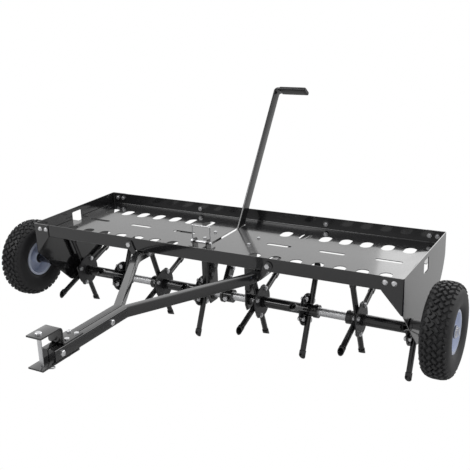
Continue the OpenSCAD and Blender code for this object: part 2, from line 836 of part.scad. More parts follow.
// Wheel spindle: headed pin through the arm
module spindle() {
    translate([0, wheel_y, wheel_z]) difference() {
        rod_x(spindle_d / 2, arm_x0, spindle_end);
        translate([spindle_end - 4, 0, -20]) cylinder(d = wire_d + 0.4, h = 40);
    }
}

module spindle_left() {
    color(zinc) placed() mirror([1, 0, 0]) spindle();
}

module spindle_right() {
    color(zinc) placed() spindle();
}

// Washer, split pin and arm bolt on each side
module spindle_fittings() {
    color(zinc) placed() for (m = [0, 1]) mirror([m, 0, 0]) {
        translate([0, wheel_y, wheel_z]) {
            translate([wheel_x + hub_half + side_c, 0, 0]) difference() {
                rod_x(hub_r - 3, 0, washer_t);
                rod_x(spindle_d / 2 + seat_c, -1, washer_t + 1);
            }
            translate([spindle_end - 4, 0, -spindle_d / 2 - 4])
                cylinder(d = wire_d, h = spindle_d + 6);
            translate([spindle_end - 4, 0, spindle_d / 2 + 3.5]) rotate([90, 0, 0]) rotate_extrude()
                translate([3, 0]) circle(d = wire_d - 1, $fn = 16);
        }
        translate([arm_x1, (axle_y + wheel_y) / 2, (axle_zt + wheel_z) / 2]) rotate([0, -90, 0]) {
            cylinder(d = m10[0], h = arm_t);
            translate([0, 0, -m10[2]]) cylinder(d = m10[1] / cos(30), h = m10[2], $fn = 6);
        }
    }
}

crank_l = 105;
lever_bolt_r = [58, 88];
crank_t = 8;
crank_x0 = lever_x + lever_t / 2;
hub_w = 30;

// Clamp hub on the axle with a short crank that carries the lever
module lever_crank() {
    color(black) placed() translate([0, axle_y, axle_zt]) rotate([-lever_lean, 0, 0]) difference() {
        union() {
            translate([crank_x0, 0, 0]) sheet_x(crank_t) union() {
                translate([-lever_w / 2, 0]) square([lever_w, crank_l]);
                circle(24);
            }
            rod_x(21, crank_x0, crank_x0 + crank_t + hub_w);
            translate([crank_x0 + crank_t + hub_w / 2, 0, 0]) rotate([90 + lever_lean, 0, 0])
                cylinder(r = 9, h = 27);
        }
        rod_x(axle_d / 2 + seat_c, crank_x0 - 1, crank_x0 + crank_t + hub_w + 1);
        translate([crank_x0 + crank_t + hub_w / 2, 0, 0]) rotate([90 + lever_lean, 0, 0])
            cylinder(r = m8[0] / 2 + bolt_c, h = 30);
        for (r = lever_bolt_r) translate([0, 0, r])
            rod_x(m8[0] / 2 + bolt_c, crank_x0 - 1, crank_x0 + crank_t + 1);
    }
}

// Flat bar from the crank up through the tray floor, bent over for the grip
module lift_lever() {
    bend = 10;
    path = soft_path([
        [lever_x, 42],
        [lever_x, lever_l],
        [lever_x + grip_l, lever_l]], bend, 8);
    color(black) placed() translate([0, axle_y, axle_zt]) rotate([-lever_lean, 0, 0]) difference() {
        rotate([90, 0, 0]) translate([0, 0, -lever_w / 2]) linear_extrude(lever_w)
            polygon(strip(path, -lever_t / 2, lever_t / 2));
        for (r = lever_bolt_r) translate([0, 0, r])
            rod_x(m8[0] / 2 + bolt_c, lever_x - lever_t, lever_x + lever_t);
        translate([0, 0, lock_r]) rod_x(lock_pin_d / 2 + 0.5, lever_x - lever_t, lever_x + lever_t);
    }
}

// Sleeve pushed over the bent end of the lever
module lever_grip() {
    start = 14;
    color("#222224") placed() translate([0, axle_y, axle_zt]) rotate([-lever_lean, 0, 0])
        difference() {
        translate([lever_x + start, 0, lever_l]) sheet_x(grip_l - start + 5)
            rounded_rect(grip_w, grip_t, grip_round);
        translate([lever_x + start - 1, 0, lever_l]) sheet_x(grip_l - start + 1 + seat_c)
            square([lever_w + 2 * seat_c, lever_t + 2 * seat_c], center = true);
    }
}

module lever_bolts() {
    color(zinc) placed() translate([0, axle_y, axle_zt]) {
        rotate([-lever_lean, 0, 0]) for (r = lever_bolt_r) translate([lever_x - lever_t / 2, 0, r])
            rotate([0, 90, 0]) bolted(m8, lever_t + crank_t);
        translate([crank_x0 + crank_t + hub_w / 2, -27, 0]) rotate([-90, 0, 0]) {
            cylinder(d = m8[0], h = 27 - axle_d / 2 - seat_c);
            translate([0, 0, -m8[2]]) cylinder(d = m8[1] / cos(30), h = m8[2], $fn = 6);
        }
    }
}

// Reels are counted from the left; each has an odd star and an even star, both with
// their plate on the side towards the middle of the reel
reel_side = [-1, -1, 1, 1];
reel_stars = [[3, 2], [1, 0], [0, 1], [2, 3]];
reel_span = [outer_tube, inner_tube, inner_tube, outer_tube];
function reel_star_x(k, j) = reel_side[k] * star_x[reel_stars[k][j]];

// Puts children, drawn round the X axis with a tine straight up and the reel's middle
// towards +X, on the two stars of a reel
module on_stars(k) {
    placed() for (j = [0, 1]) translate([reel_star_x(k, j), axle_y, axle_zt])
        rotate([-[odd_phase, even_phase][j], 0, 0]) mirror([j, 0, 0]) children();
}

// Tube that turns on the axle, with a thicker hub under each star and a set bolt
module reel_tube(k) {
    span = reel_span[k];
    color(black) placed() mirror([reel_side[k] < 0 ? 1 : 0, 0, 0]) translate([0, axle_y, axle_zt])
        difference() {
        union() {
            rod_x(reel_tube_d / 2, span[0], span[1]);
            for (i = [0, 1]) {
                x = star_x[reel_stars[k][reel_side[k] < 0 ? 1 - i : i]];
                rod_x(hub_sleeve_r, i == 0 ? span[0] : x - hub_in, i == 0 ? x + hub_in : span[1]);
            }
        }
        rod_x(axle_d / 2 + run_c, span[0] - 1, span[1] + 1);
    }
}

module star_plates(k) {
    color("#333336") on_stars(k) difference() {
        rod_x(star_plate_d / 2, ear_x, ear_x + star_plate_t);
        rod_x(hub_sleeve_r + seat_c, 0, ear_x + star_plate_t + 1);
        for (a = [45:90:315]) rotate([-a, 0, 0]) translate([0, 0, star_bolt_r])
            rod_x(m8[0] / 2 + bolt_c, 0, 2 * ear_x);
    }
}

// Channel of a tine in plan, round on the leading side and open behind
module tine_section() {
    side = tine_depth - back_r;
    difference() {
        union() {
            circle(back_r);
            translate([-back_r, 0]) square([tine_w, side]);
        }
        circle(back_r - tine_wall);
        translate([tine_wall - back_r, 0]) square([tine_w - 2 * tine_wall, side + 1]);
    }
}

// Ear beside the channel that reaches to the bolt behind the tine
module tine_ear() {
    c = star_bolt_r * sin(45);
    difference() {
        union() {
            translate([c, c]) circle(ear_r);
            polygon([
                [2 - back_r, tine_root + 1],
                [2 - back_r, c + ear_r],
                [c, c + ear_r],
                [c + ear_r, c],
                [c, c - ear_r],
                [tine_root, c - ear_r - 4],
                [6, tine_root + 1]]);
        }
        translate([c, c]) circle(m8[0] / 2 + bolt_c);
    }
}

// One tine, pointing up from the axle: bolted ear, channel and slant cut coring spoon
module tine() {
    slant = atan2(spoon_slant, spoon_d);
    spoon_y = lead_y + spoon_r;
    difference() {
        union() {
            translate([0, 0, tine_root]) linear_extrude(tine_r - spoon_l - tine_root + 2)
                tine_section();
            translate([0, spoon_y, tine_r - spoon_l]) cylinder(r = spoon_r, h = spoon_l);
            translate([back_r - ear_lap, 0, 0]) sheet_x(tine_ear_t + ear_lap) tine_ear();
        }
        translate([0, spoon_y, tine_r - spoon_l - 1]) cylinder(r = bore_r, h = spoon_l + 6);
        // slanted mouth, longest on the leading side
        translate([0, lead_y, tine_r]) rotate([-slant, 0, 0]) translate([-spoon_d, -spoon_d, 0])
            cube([2 * spoon_d, 4 * spoon_d, 2 * spoon_l]);
    }
}

module tines(k) {
    color(black) on_stars(k) for (a = [0:90:270]) rotate([-a, 0, 0]) tine();
}

module star_bolts(k) {
    grip = ear_lap + tine_ear_t + star_plate_t;
    color(zinc) on_stars(k) for (a = [45:90:315]) rotate([-a, 0, 0])
        translate([back_r - ear_lap, 0, star_bolt_r]) rotate([0, 90, 0])
        bolted(m8, grip);
}

module reel_tube_1() { reel_tube(0); }
module reel_tube_2() { reel_tube(1); }
module reel_tube_3() { reel_tube(2); }
module reel_tube_4() { reel_tube(3); }
module star_plates_1() { star_plates(0); }
module star_plates_2() { star_plates(1); }
module star_plates_3() { star_plates(2); }
module star_plates_4() { star_plates(3); }
module tines_1() { tines(0); }
module tines_2() { tines(1); }
module tines_3() { tines(2); }
module tines_4() { tines(3); }
module star_bolts_1() { star_bolts(0); }
module star_bolts_2() { star_bolts(1); }
module star_bolts_3() { star_bolts(2); }
module star_bolts_4() { star_bolts(3); }

// Wheel parts are drawn round the X axis and put at the spindle of one side
module at_wheel(m) {
    placed() mirror([m, 0, 0]) translate([wheel_x, wheel_y, wheel_z]) rotate([0, 90, 0]) children();
}

bead_r = rim_d / 2;
tyre_mid = (tyre_d / 2 + bead_r) / 2;
function full(v, p) = sign(v) * pow(abs(v), p);
function tyre_outline(dr, dx, n = 32) = [for (i = [0:n - 1]) let(a = 360 * (i + 0.5) / n)
    [tyre_mid + dr * full(cos(a), 0.7), dx * full(sin(a), 0.75)]];

// Pneumatic tyre with two grooves and open beads
module tyre(m) {
    wall = 8;
    dr = tyre_d / 2 - tyre_mid;
    color("#202022") at_wheel(m) rotate_extrude($fn = 96) difference() {
        polygon(tyre_outline(dr / pow(cos(360 / 64), 0.7), tyre_w / 2));
        polygon(tyre_outline(dr - wall, tyre_w / 2 - wall));
        translate([bead_r - 5, -17]) square([14, 34]);
        for (s = [-1, 1]) translate([tyre_d / 2 - 4, s * tyre_w * 0.16 - 2]) square([10, 4]);
    }
}

// Stamped rim: barrel with lips, dished centre and hub tube
module rim(m) {
    barrel_half = 27.5;
    barrel_t = 2.5;
    rim_lip = 7.5;
    seat = 0.3;
    color("#b9c6d6") at_wheel(m) rotate_extrude($fn = 96) {
        translate([bead_r - seat - barrel_t, -barrel_half]) square([barrel_t, 2 * barrel_half]);
        for (s = [-1, 1]) translate([bead_r - seat - barrel_t, s * (barrel_half + 1.25) - 1.25])
            square([rim_lip, barrel_t]);
        polygon([[hub_r - 1, -3], [bead_r - 1, 9], [bead_r - 1, 12], [hub_r - 1, 0]]);
        translate([bearing_r + seat_c, bearing_flange_t - hub_half])
            square([hub_r - bearing_r, 2 * (hub_half - bearing_flange_t)]);
    }
}

module wheel_bearings(m) {
    color("#39393c") at_wheel(m) for (s = [-1, 1]) difference() {
        union() {
            translate([0, 0, s * (hub_half - 9) - 9]) cylinder(r = bearing_r, h = 18);
            translate([0, 0, s > 0 ? hub_half - bearing_flange_t : -hub_half])
                cylinder(r = hub_r - 2, h = bearing_flange_t);
        }
        translate([0, 0, -hub_half - 1]) cylinder(r = spindle_d / 2 + run_c, h = 2 * hub_half + 2);
    }
}

module tyre_left() { tyre(1); }
module tyre_right() { tyre(0); }
module rim_left() { rim(1); }
module rim_right() { rim(0); }
module wheel_bearings_left() { wheel_bearings(1); }
module wheel_bearings_right() { wheel_bearings(0); }

tray();
side_plate_left();
side_plate_right();
hanger_left();
hanger_right();
axle_bushes();
drawbar_tube_left();
drawbar_tube_right();
drawbar_brackets();
hitch_plate_upper();
hitch_plate_lower();
lock_pin_lugs();
tray_bolts();
hanger_bolts();
bracket_bolts();
drawbar_bolts();
hitch_bolts();
lock_pin();
lock_pin_bail();
hitch_pin();
hitch_pin_clip();
main_axle();
axle_collars();
wheel_arm_left();
wheel_arm_right();
spindle_left();
spindle_right();
spindle_fittings();
lever_crank();
lift_lever();
lever_grip();
lever_bolts();
reel_tube_1();
reel_tube_2();
reel_tube_3();
reel_tube_4();
star_plates_1();
star_plates_2();
star_plates_3();
star_plates_4();
tines_1();
tines_2();
tines_3();
tines_4();
star_bolts_1();
star_bolts_2();
star_bolts_3();
star_bolts_4();
tyre_left();
tyre_right();
rim_left();
rim_right();
wheel_bearings_left();
wheel_bearings_right();
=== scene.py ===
"""Tow behind aerator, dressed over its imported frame.

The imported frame's nodes get their finishes. The tray, the tyres, the drawbar with its hitch and the
lift lever get pieces of their own, with more detail than their nodes.
"""

from __future__ import annotations

import json
import logging
import math
from dataclasses import dataclass
from enum import Enum

import bmesh
import bpy
from mathutils import Matrix, Vector

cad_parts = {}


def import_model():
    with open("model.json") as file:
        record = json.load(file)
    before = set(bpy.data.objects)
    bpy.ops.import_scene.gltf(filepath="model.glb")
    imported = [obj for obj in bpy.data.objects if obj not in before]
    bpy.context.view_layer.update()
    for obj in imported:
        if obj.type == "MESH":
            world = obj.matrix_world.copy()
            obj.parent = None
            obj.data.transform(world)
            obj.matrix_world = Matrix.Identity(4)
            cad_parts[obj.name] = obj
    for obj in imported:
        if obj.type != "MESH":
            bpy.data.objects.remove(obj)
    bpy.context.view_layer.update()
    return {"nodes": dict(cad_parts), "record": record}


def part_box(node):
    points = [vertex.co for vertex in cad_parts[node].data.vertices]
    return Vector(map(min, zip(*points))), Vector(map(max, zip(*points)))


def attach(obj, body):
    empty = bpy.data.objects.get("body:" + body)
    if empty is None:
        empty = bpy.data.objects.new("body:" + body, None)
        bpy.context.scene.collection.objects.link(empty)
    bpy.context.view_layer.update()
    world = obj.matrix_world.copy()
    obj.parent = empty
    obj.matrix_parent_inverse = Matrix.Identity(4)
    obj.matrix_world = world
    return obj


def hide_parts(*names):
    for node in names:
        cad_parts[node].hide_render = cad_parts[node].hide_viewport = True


LOG = logging.getLogger("aerator")
MM = 0.001
SHARP_ANGLE = math.radians(32.0)
RIGHT = Vector((1.0, 0.0, 0.0))
REAR = Vector((0.0, 1.0, 0.0))
UP = Vector((0.0, 0.0, 1.0))
WHITE = (1.0, 1.0, 1.0, 1.0)

# Sockets of a Mix node that mixes colours, which share their names with its other sockets
MIX_A = 6
MIX_B = 7
MIX_RESULT = 2


class Side(Enum):
    """The two sides of the part, with the sign of X."""

    LEFT = -1
    RIGHT = 1

    @property
    def word(self) -> str:
        """The side's name as the frame's nodes end with it."""
        return self.name.lower()


# Finishes


class NodeTree:
    """A small helper that makes and links shader nodes."""

    def __init__(self, tree: bpy.types.NodeTree) -> None:
        """Keeps the tree that the nodes go into."""
        self.tree = tree

    def add(self, kind: str, **sets: object) -> bpy.types.Node:
        """Adds a node.

        Args:
            kind: The node's type name.
            **sets: Its properties; a name that is an input's name with underscores sets that input.
        Returns:
            The new node.
        """
        node = self.tree.nodes.new(kind)
        for key, value in sets.items():
            label = key.replace("_", " ")
            names = {s.name.lower(): s for s in reversed(node.inputs) if s.enabled}
            if hasattr(node, key) and label.lower() not in names:
                setattr(node, key, value)
            else:
                names[label.lower()].default_value = value
        return node

    def link(
        self, source: bpy.types.Node, output: str | int, target: bpy.types.Node, slot: str | int
    ) -> None:
        """Links two nodes.

        Args:
            source: Node that gives the value.
            output: Its socket, by name or number.
            target: Node that takes the value.
            slot: Its socket, by name or number.
        """
        self.tree.links.new(source.outputs[output], target.inputs[slot])


def shader_group(
    name: str,
    inputs: dict[str, tuple[str, object]],
    outputs: dict[str, str],
) -> tuple[bpy.types.NodeTree, NodeTree, bpy.types.Node, bpy.types.Node]:
    """Makes an empty shader node group.

    Args:
        name: The group's name.
        inputs: Each input's socket type and default.
        outputs: Each output's socket type.
    Returns:
        The group, its helper, its input node and its output node.
    """
    group = bpy.data.node_groups.new(name, "ShaderNodeTree")
    for key, (kind, value) in inputs.items():
        socket = group.interface.new_socket(key, in_out="INPUT", socket_type=kind)
        socket.default_value = value
    for key, kind in outputs.items():
        group.interface.new_socket(key, in_out="OUTPUT", socket_type=kind)
    t = NodeTree(group)
    return group, t, t.add("NodeGroupInput"), t.add("NodeGroupOutput")


def make_texture_group() -> bpy.types.NodeTree:
    """Group that gives a coating's uneven tone, its fine relief and its dust.

    Returns:
        A group with a Tone mask, a Dust mask and a Normal.
    """
    group, t, gin, gout = shader_group(
        "coating_texture",
        {
            "Peel Scale": ("NodeSocketFloat", 700.0),
            "Peel Strength": ("NodeSocketFloat", 0.1),
            "Tone Scale": ("NodeSocketFloat", 9.0),
        },
        {"Tone": "NodeSocketFloat", "Dust": "NodeSocketFloat", "Normal": "NodeSocketVector"},
    )
    coord = t.add("ShaderNodeTexCoord")
    peel = t.add("ShaderNodeTexNoise", Detail=3.0, Roughness=0.55)
    t.link(coord, "Object", peel, "Vector")
    t.link(gin, "Peel Scale", peel, "Scale")
    bump = t.add("ShaderNodeBump", Distance=0.0002)
    t.link(gin, "Peel Strength", bump, "Strength")
    t.link(peel, "Fac", bump, "Height")
    tone = t.add("ShaderNodeTexNoise", Detail=4.0, Roughness=0.6, Distortion=0.4)
    t.link(coord, "Object", tone, "Vector")
    t.link(gin, "Tone Scale", tone, "Scale")
    dust = t.add("ShaderNodeTexNoise", Scale=2600.0, Detail=2.0, Roughness=0.7)
    t.link(coord, "Object", dust, "Vector")
    ramp = t.add("ShaderNodeMapRange", From_Min=0.66, From_Max=0.78)
    t.link(dust, "Fac", ramp, "Value")
    t.link(tone, "Fac", gout, "Tone")
    t.link(ramp, "Result", gout, "Dust")
    t.link(bump, "Normal", gout, "Normal")
    return group


@dataclass(frozen=True)
class Finish:
    """A surface finish over the shared coating texture.

    Args:
        name: Material name.
        dark: Linear colour where the tone mask is low.
        light: Linear colour where the tone mask is high.
        roughness: Least and greatest roughness.
        metallic: 1 for bare or plated metal.
        coat: Clear coat weight.
        peel: Scale and strength of the fine relief.
        tone_scale: Scale of the uneven tone.
        specular: Specular level of the base.
        coat_roughness: Roughness of the clear coat.
    """

    name: str
    dark: tuple[float, float, float]
    light: tuple[float, float, float]
    roughness: tuple[float, float] = (0.25, 0.35)
    metallic: float = 0.0
    coat: float = 0.0
    peel: tuple[float, float] = (700.0, 0.1)
    tone_scale: float = 9.0
    specular: float = 0.5
    coat_roughness: float = 0.08

    def build(self, texture: bpy.types.NodeTree) -> bpy.types.Material:
        """Makes the material.

        Args:
            texture: The shared coating texture group.
        Returns:
            The material.
        """
        mat = bpy.data.materials.new(self.name)
        mat["slot"] = self.name
        mat.use_nodes = True
        mat.diffuse_color = (*self.light, 1.0)
        t = NodeTree(mat.node_tree)
        bsdf = mat.node_tree.nodes["Principled BSDF"]
        bsdf.inputs["Metallic"].default_value = self.metallic
        bsdf.inputs["Coat Weight"].default_value = self.coat
        bsdf.inputs["Coat Roughness"].default_value = self.coat_roughness
        bsdf.inputs["Specular IOR Level"].default_value = self.specular
        tex = t.add(
            "ShaderNodeGroup",
            node_tree=texture,
            Peel_Scale=self.peel[0],
            Peel_Strength=self.peel[1],
            Tone_Scale=self.tone_scale,
        )
        mix = t.add("ShaderNodeMix", data_type="RGBA")
        mix.inputs[MIX_A].default_value = (*self.dark, 1.0)
        mix.inputs[MIX_B].default_value = (*self.light, 1.0)
        t.link(tex, "Tone", mix, 0)
        t.link(mix, MIX_RESULT, bsdf, "Base Color")
        rough = t.add("ShaderNodeMapRange", To_Min=self.roughness[0], To_Max=self.roughness[1])
        t.link(tex, "Tone", rough, "Value")
        t.link(rough, "Result", bsdf, "Roughness")
        t.link(tex, "Normal", bsdf, "Normal")
        return mat


FINISHES = {
    finish.name: finish
    for finish in (
        Finish(
            "black_powder_coat",
            dark=(0.008, 0.008, 0.009),
            light=(0.014, 0.014, 0.015),
            roughness=(0.12, 0.22),
            coat=1.0,
            peel=(420.0, 0.06),
        ),
        Finish(
            "plate_steel",
            dark=(0.03, 0.03, 0.032),
            light=(0.06, 0.06, 0.064),
            roughness=(0.28, 0.4),
        ),
        Finish(
            "bush_plastic",
            dark=(0.008, 0.008, 0.008),
            light=(0.014, 0.014, 0.014),
            roughness=(0.35, 0.45),
        ),
        Finish(
            "tyre_rubber",
            dark=(0.012, 0.012, 0.013),
            light=(0.026, 0.026, 0.028),
            roughness=(0.42, 0.6),
            peel=(900.0, 0.4),
        ),
        Finish(
            "rim_paint",
            dark=(0.6, 0.66, 0.82),
            light=(0.74, 0.79, 0.93),
            roughness=(0.25, 0.35),
            peel=(500.0, 0.08),
        ),
        Finish(
            "zinc",
            dark=(0.78, 0.79, 0.81),
            light=(0.95, 0.95, 0.96),
            roughness=(0.3, 0.46),
            metallic=1.0,
            peel=(1500.0, 0.12),
            tone_scale=60.0,
        ),
        Finish(
            "bearing_steel",
            dark=(0.05, 0.05, 0.055),
            light=(0.14, 0.14, 0.15),
            roughness=(0.3, 0.5),
            metallic=1.0,
        ),
        Finish(
            "grip_vinyl",
            dark=(0.01, 0.01, 0.011),
            light=(0.02, 0.02, 0.021),
            roughness=(0.3, 0.4),
            peel=(1400.0, 0.25),
        ),
    )
}


# Camera and stage


@dataclass
class Camera:
    """The photograph's camera, solved from the tray's corners in the tray's own frame.

    Args:
        azimuth: Degrees round the part from straight ahead.
        elevation: Degrees above level.
        roll: Degrees of roll.
        focal: Focal length in pixels.
        size: Image width in pixels.
        spot: Camera place in metres from the middle of the tray's top edge.
        sensor: Sensor width in millimetres.
        far: Farthest distance that it sees, in metres.
    """

    azimuth: float = 29.49
    elevation: float = 18.04
    roll: float = 2.03
    focal: float = 763.1
    size: float = 470.0
    spot: tuple[float, float, float] = (1.1138, -1.9423, 0.7037)
    sensor: float = 36.0
    far: float = 50.0

    def build(self) -> None:
        """Makes the scene's camera."""
        a, e, r = (math.radians(v) for v in (self.azimuth, self.elevation, self.roll))
        back = Vector((math.sin(a) * math.cos(e), -math.cos(a) * math.cos(e), math.sin(e)))
        right = Vector((math.cos(a), math.sin(a), 0.0))
        up = back.cross(right)
        right, up = math.cos(r) * right - math.sin(r) * up, math.sin(r) * right + math.cos(r) * up
        data = bpy.data.cameras.new("camera")
        data.sensor_width = self.sensor
        data.lens = self.focal / self.size * data.sensor_width
        data.clip_end = self.far
        cam = bpy.data.objects.new("camera", data)
        turn = Matrix((right, up, back)).transposed().to_4x4()
        cam.matrix_world = Matrix.Translation(datum() + Vector(self.spot)) @ turn
        bpy.context.scene.collection.objects.link(cam)
        bpy.context.scene.camera = cam


@dataclass(frozen=True)
class Lamp:
    """An area lamp that looks at the part.

    Args:
        name: Its name.
        spot: Its place in metres.
        size: Side of its square in metres.
        power: Its power in watts.
    """

    name: str
    spot: tuple[float, float, float]
    size: float
    power: float

    def build(self, aim: Vector) -> None:
        """Makes the lamp.

        Args:
            aim: Place that it looks at, in metres.
        """
        data = bpy.data.lights.new(self.name, "AREA")
        data.size = self.size
        data.energy = self.power
        lamp = bpy.data.objects.new(self.name, data)
        lamp.location = self.spot
        lamp.rotation_mode = "QUATERNION"
        lamp.rotation_quaternion = (aim - Vector(self.spot)).to_track_quat("-Z", "Y")
        bpy.context.scene.collection.objects.link(lamp)


@dataclass
class Stage:
    """Pale floor, white surroundings and lamps.

    Args:
        floor_size: Side of the floor in metres.
        floor_drop: How far the floor lies below the part, in metres.
        floor_tone: Grey of the floor as the part sees it.
        floor_roughness: Roughness of the floor.
        light: Strength of the surroundings' plain light.
        front: Strength of the surroundings in front, as the gloss sees them.
        front_span: Where the front's strength starts and ends to rise, as a direction's Y.
        left: Strength of the surroundings on the left, as a share.
        left_span: Where the left's share starts and ends to rise, as a direction's X.
        aim: Place that the lamps look at, in metres.
        lamps: The lamps.
    """

    floor_size: float = 14.0
    floor_drop: float = 0.0005
    floor_tone: float = 0.5
    floor_roughness: float = 0.9
    light: float = 0.7
    front: float = 0.4
    front_span: tuple[float, float] = (-0.5, 0.5)
    left: float = 0.72
    left_span: tuple[float, float] = (-0.7, -0.35)
    aim: tuple[float, float, float] = (0.0, 0.0, 0.2)
    lamps: tuple[Lamp, ...] = (
        Lamp("key", (-2.2, -2.6, 3.4), 2.2, 55.0),
        Lamp("rim", (2.4, 2.8, 2.6), 2.0, 22.0),
        Lamp("softbox", (0.35, 3.0, 1.55), 1.7, 9.0),
    )

    def build(self) -> None:
        """Makes all of it."""
        self.surroundings()
        self.floor()
        for lamp in self.lamps:
            lamp.build(Vector(self.aim))

    def surroundings(self) -> None:
        """Makes the world: white to the camera, softer light on the part, graded to its gloss."""
        world = bpy.data.worlds.new("world")
        bpy.context.scene.world = world
        world.use_nodes = True
        t = NodeTree(world.node_tree)
        plain = world.node_tree.nodes["Background"]
        plain.inputs["Color"].default_value = WHITE
        plain.inputs["Strength"].default_value = self.light
        seen = t.add("ShaderNodeBackground", Color=WHITE, Strength=1.0)
        path = t.add("ShaderNodeLightPath")
        either = t.add("ShaderNodeMath", operation="MAXIMUM")
        t.link(path, "Is Camera Ray", either, 0)
        t.link(path, "Is Glossy Ray", either, 1)
        coord = t.add("ShaderNodeTexCoord")
        way = t.add("ShaderNodeSeparateXYZ")
        t.link(coord, "Generated", way, 0)
        graded = t.add("ShaderNodeMath", operation="MULTIPLY")
        grades = (("Y", self.front_span, self.front), ("X", self.left_span, self.left))
        for factor, (axis, (start, end), least) in enumerate(grades):
            rise = t.add("ShaderNodeMapRange", From_Min=start, From_Max=end, To_Min=least)
            t.link(way, axis, rise, "Value")
            t.link(rise, "Result", graded, factor)
        level = t.add("ShaderNodeMath", operation="MAXIMUM")
        t.link(path, "Is Camera Ray", level, 0)
        t.link(graded, 0, level, 1)
        t.link(level, 0, seen, "Strength")
        mix = t.add("ShaderNodeMixShader")
        t.link(either, 0, mix, 0)
        t.link(plain, 0, mix, 1)
        t.link(seen, 0, mix, 2)
        t.link(mix, 0, world.node_tree.nodes["World Output"], "Surface")

    def floor(self) -> None:
        """Makes the floor, white to the camera and grey to the part."""
        middle = (0.0, 0.0, -self.floor_drop)
        bpy.ops.mesh.primitive_plane_add(size=self.floor_size, location=middle)
        floor = bpy.context.object
        floor.name = "floor"
        mat = bpy.data.materials.new("floor")
        mat.use_nodes = True
        t = NodeTree(mat.node_tree)
        bsdf = mat.node_tree.nodes["Principled BSDF"]
        bsdf.inputs["Base Color"].default_value = (*(self.floor_tone,) * 3, 1.0)
        bsdf.inputs["Roughness"].default_value = self.floor_roughness
        white = t.add("ShaderNodeEmission", Color=WHITE, Strength=1.0)
        path = t.add("ShaderNodeLightPath")
        mix = t.add("ShaderNodeMixShader")
        t.link(path, "Is Camera Ray", mix, 0)
        t.link(bsdf, 0, mix, 1)
        t.link(white, 0, mix, 2)
        t.link(mix, 0, mat.node_tree.nodes["Material Output"], "Surface")
        floor.data.materials.append(mat)


# Mesh helpers


def datum() -> Vector:
    """Finds the middle of the tray's top edge, from which all places are measured.

    Returns:
        The place in metres.
    """
    lo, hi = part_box("tray")
    return Vector((0.0, (lo.y + hi.y) / 2, hi.z))


def place(x: float, y: float, z: float) -> Vector:
    """Turns a place in millimetres from the datum into the row frame.

    Args:
        x: Millimetres to the right.
        y: Millimetres to the rear.
        z: Millimetres up.
    Returns:
        The place in metres.
    """
    return datum() + Vector((x, y, z)) * MM


def frame_matrix(origin: Vector, u: Vector, v: Vector, w: Vector) -> Matrix:
    """Matrix that takes local millimetres to the row frame.

    Args:
        origin: Local zero in the row frame, in metres.
        u: Direction of the local X axis.
        v: Direction of the local Y axis.
        w: Direction of the local Z axis.
    Returns:
        The matrix.
    """
    turn = Matrix((u, v, w)).transposed().to_4x4()
    return Matrix.Translation(origin) @ turn @ Matrix.Scale(MM, 4)


def arc_corner(a: Vector, b: Vector, c: Vector, radius: float, steps: int = 10) -> list[Vector]:
    """Rounds a corner of a flat path.

    Args:
        a: Point before the corner.
        b: The corner.
        c: Point after the corner.
        radius: Radius of the path there.
        steps: Number of chords.
    Returns:
        The points of the arc.
    """
    u, w = (a - b).normalized(), (c - b).normalized()
    half = u.angle(w) / 2
    mid = b + (u + w).normalized() * radius / math.sin(half)
    p, q = b + u * radius / math.tan(half) - mid, b + w * radius / math.tan(half) - mid
    start = math.atan2(p.y, p.x)
    turn = (math.atan2(q.y, q.x) - start + math.pi) % (2 * math.pi) - math.pi
    angles = [start + turn * i / steps for i in range(steps + 1)]
    return [mid + radius * Vector((math.cos(angle), math.sin(angle))) for angle in angles]


def rounded_rect(
    width: float, height: float, radius: float, steps: int = 4
) -> list[tuple[float, float]]:
    """Outline of a rectangle with rounded corners, counter-clockwise.

    Args:
        width: Size along the first axis.
        height: Size along the second axis.
        radius: Radius of a corner.
        steps: Chords of a corner.
    Returns:
        The outline's points.
    """
    points = []
    for i, (sx, sy) in enumerate(((1, 1), (-1, 1), (-1, -1), (1, -1))):
        for j in range(steps + 1):
            a = math.pi / 2 * (i + j / steps)
            u = sx * (width / 2 - radius) + radius * math.cos(a)
            v = sy * (height / 2 - radius) + radius * math.sin(a)
            points.append((u, v))
    return points


def skin(
    bm: bmesh.types.BMesh, rings: list[list[bmesh.types.BMVert]], closed: bool = False
) -> None:
    """Joins rings of vertices into a solid.

    Args:
        bm: Mesh to add to.
        rings: Rings with the same number of vertices, in order.
        closed: True where the last ring joins the first; otherwise both ends are capped.
    """
    pairs = list(zip(rings, rings[1:])) + ([(rings[-1], rings[0])] if closed else [])
    for low, high in pairs:
        for k in range(len(low)):
            after = (k + 1) % len(low)
            bm.faces.new((low[k], low[after], high[after], high[k]))
    if not closed:
        bm.faces.new(list(reversed(rings[0])))
        bm.faces.new(rings[-1])


def sweep(
    bm: bmesh.types.BMesh,
    path: list[Vector],
    outline: list[tuple[float, float]],
    matrix: Matrix,
) -> None:
    """Sweeps an outline along a flat path and closes both ends.

    Args:
        bm: Mesh to add to.
        path: Points in the local plane.
        outline: Pairs of offset beside the path and height off the plane.
        matrix: From local millimetres to the row frame.
    """
    least_cosine = 0.5
    rings = []
    for i, p in enumerate(path):
        before = (p - path[i - 1]).normalized() if i else None
        after = (path[i + 1] - p).normalized() if i + 1 < len(path) else None
        way = (before or after) + (after or before)
        way.normalize()
        stretch = 1.0 / max(way.dot(before or after), least_cosine)
        side = Vector((-way.y, way.x)) * stretch
        ring = [Vector((p.x + side.x * a, p.y + side.y * a, b)) for a, b in outline]
        rings.append([bm.verts.new(matrix @ point) for point in ring])
    skin(bm, rings)


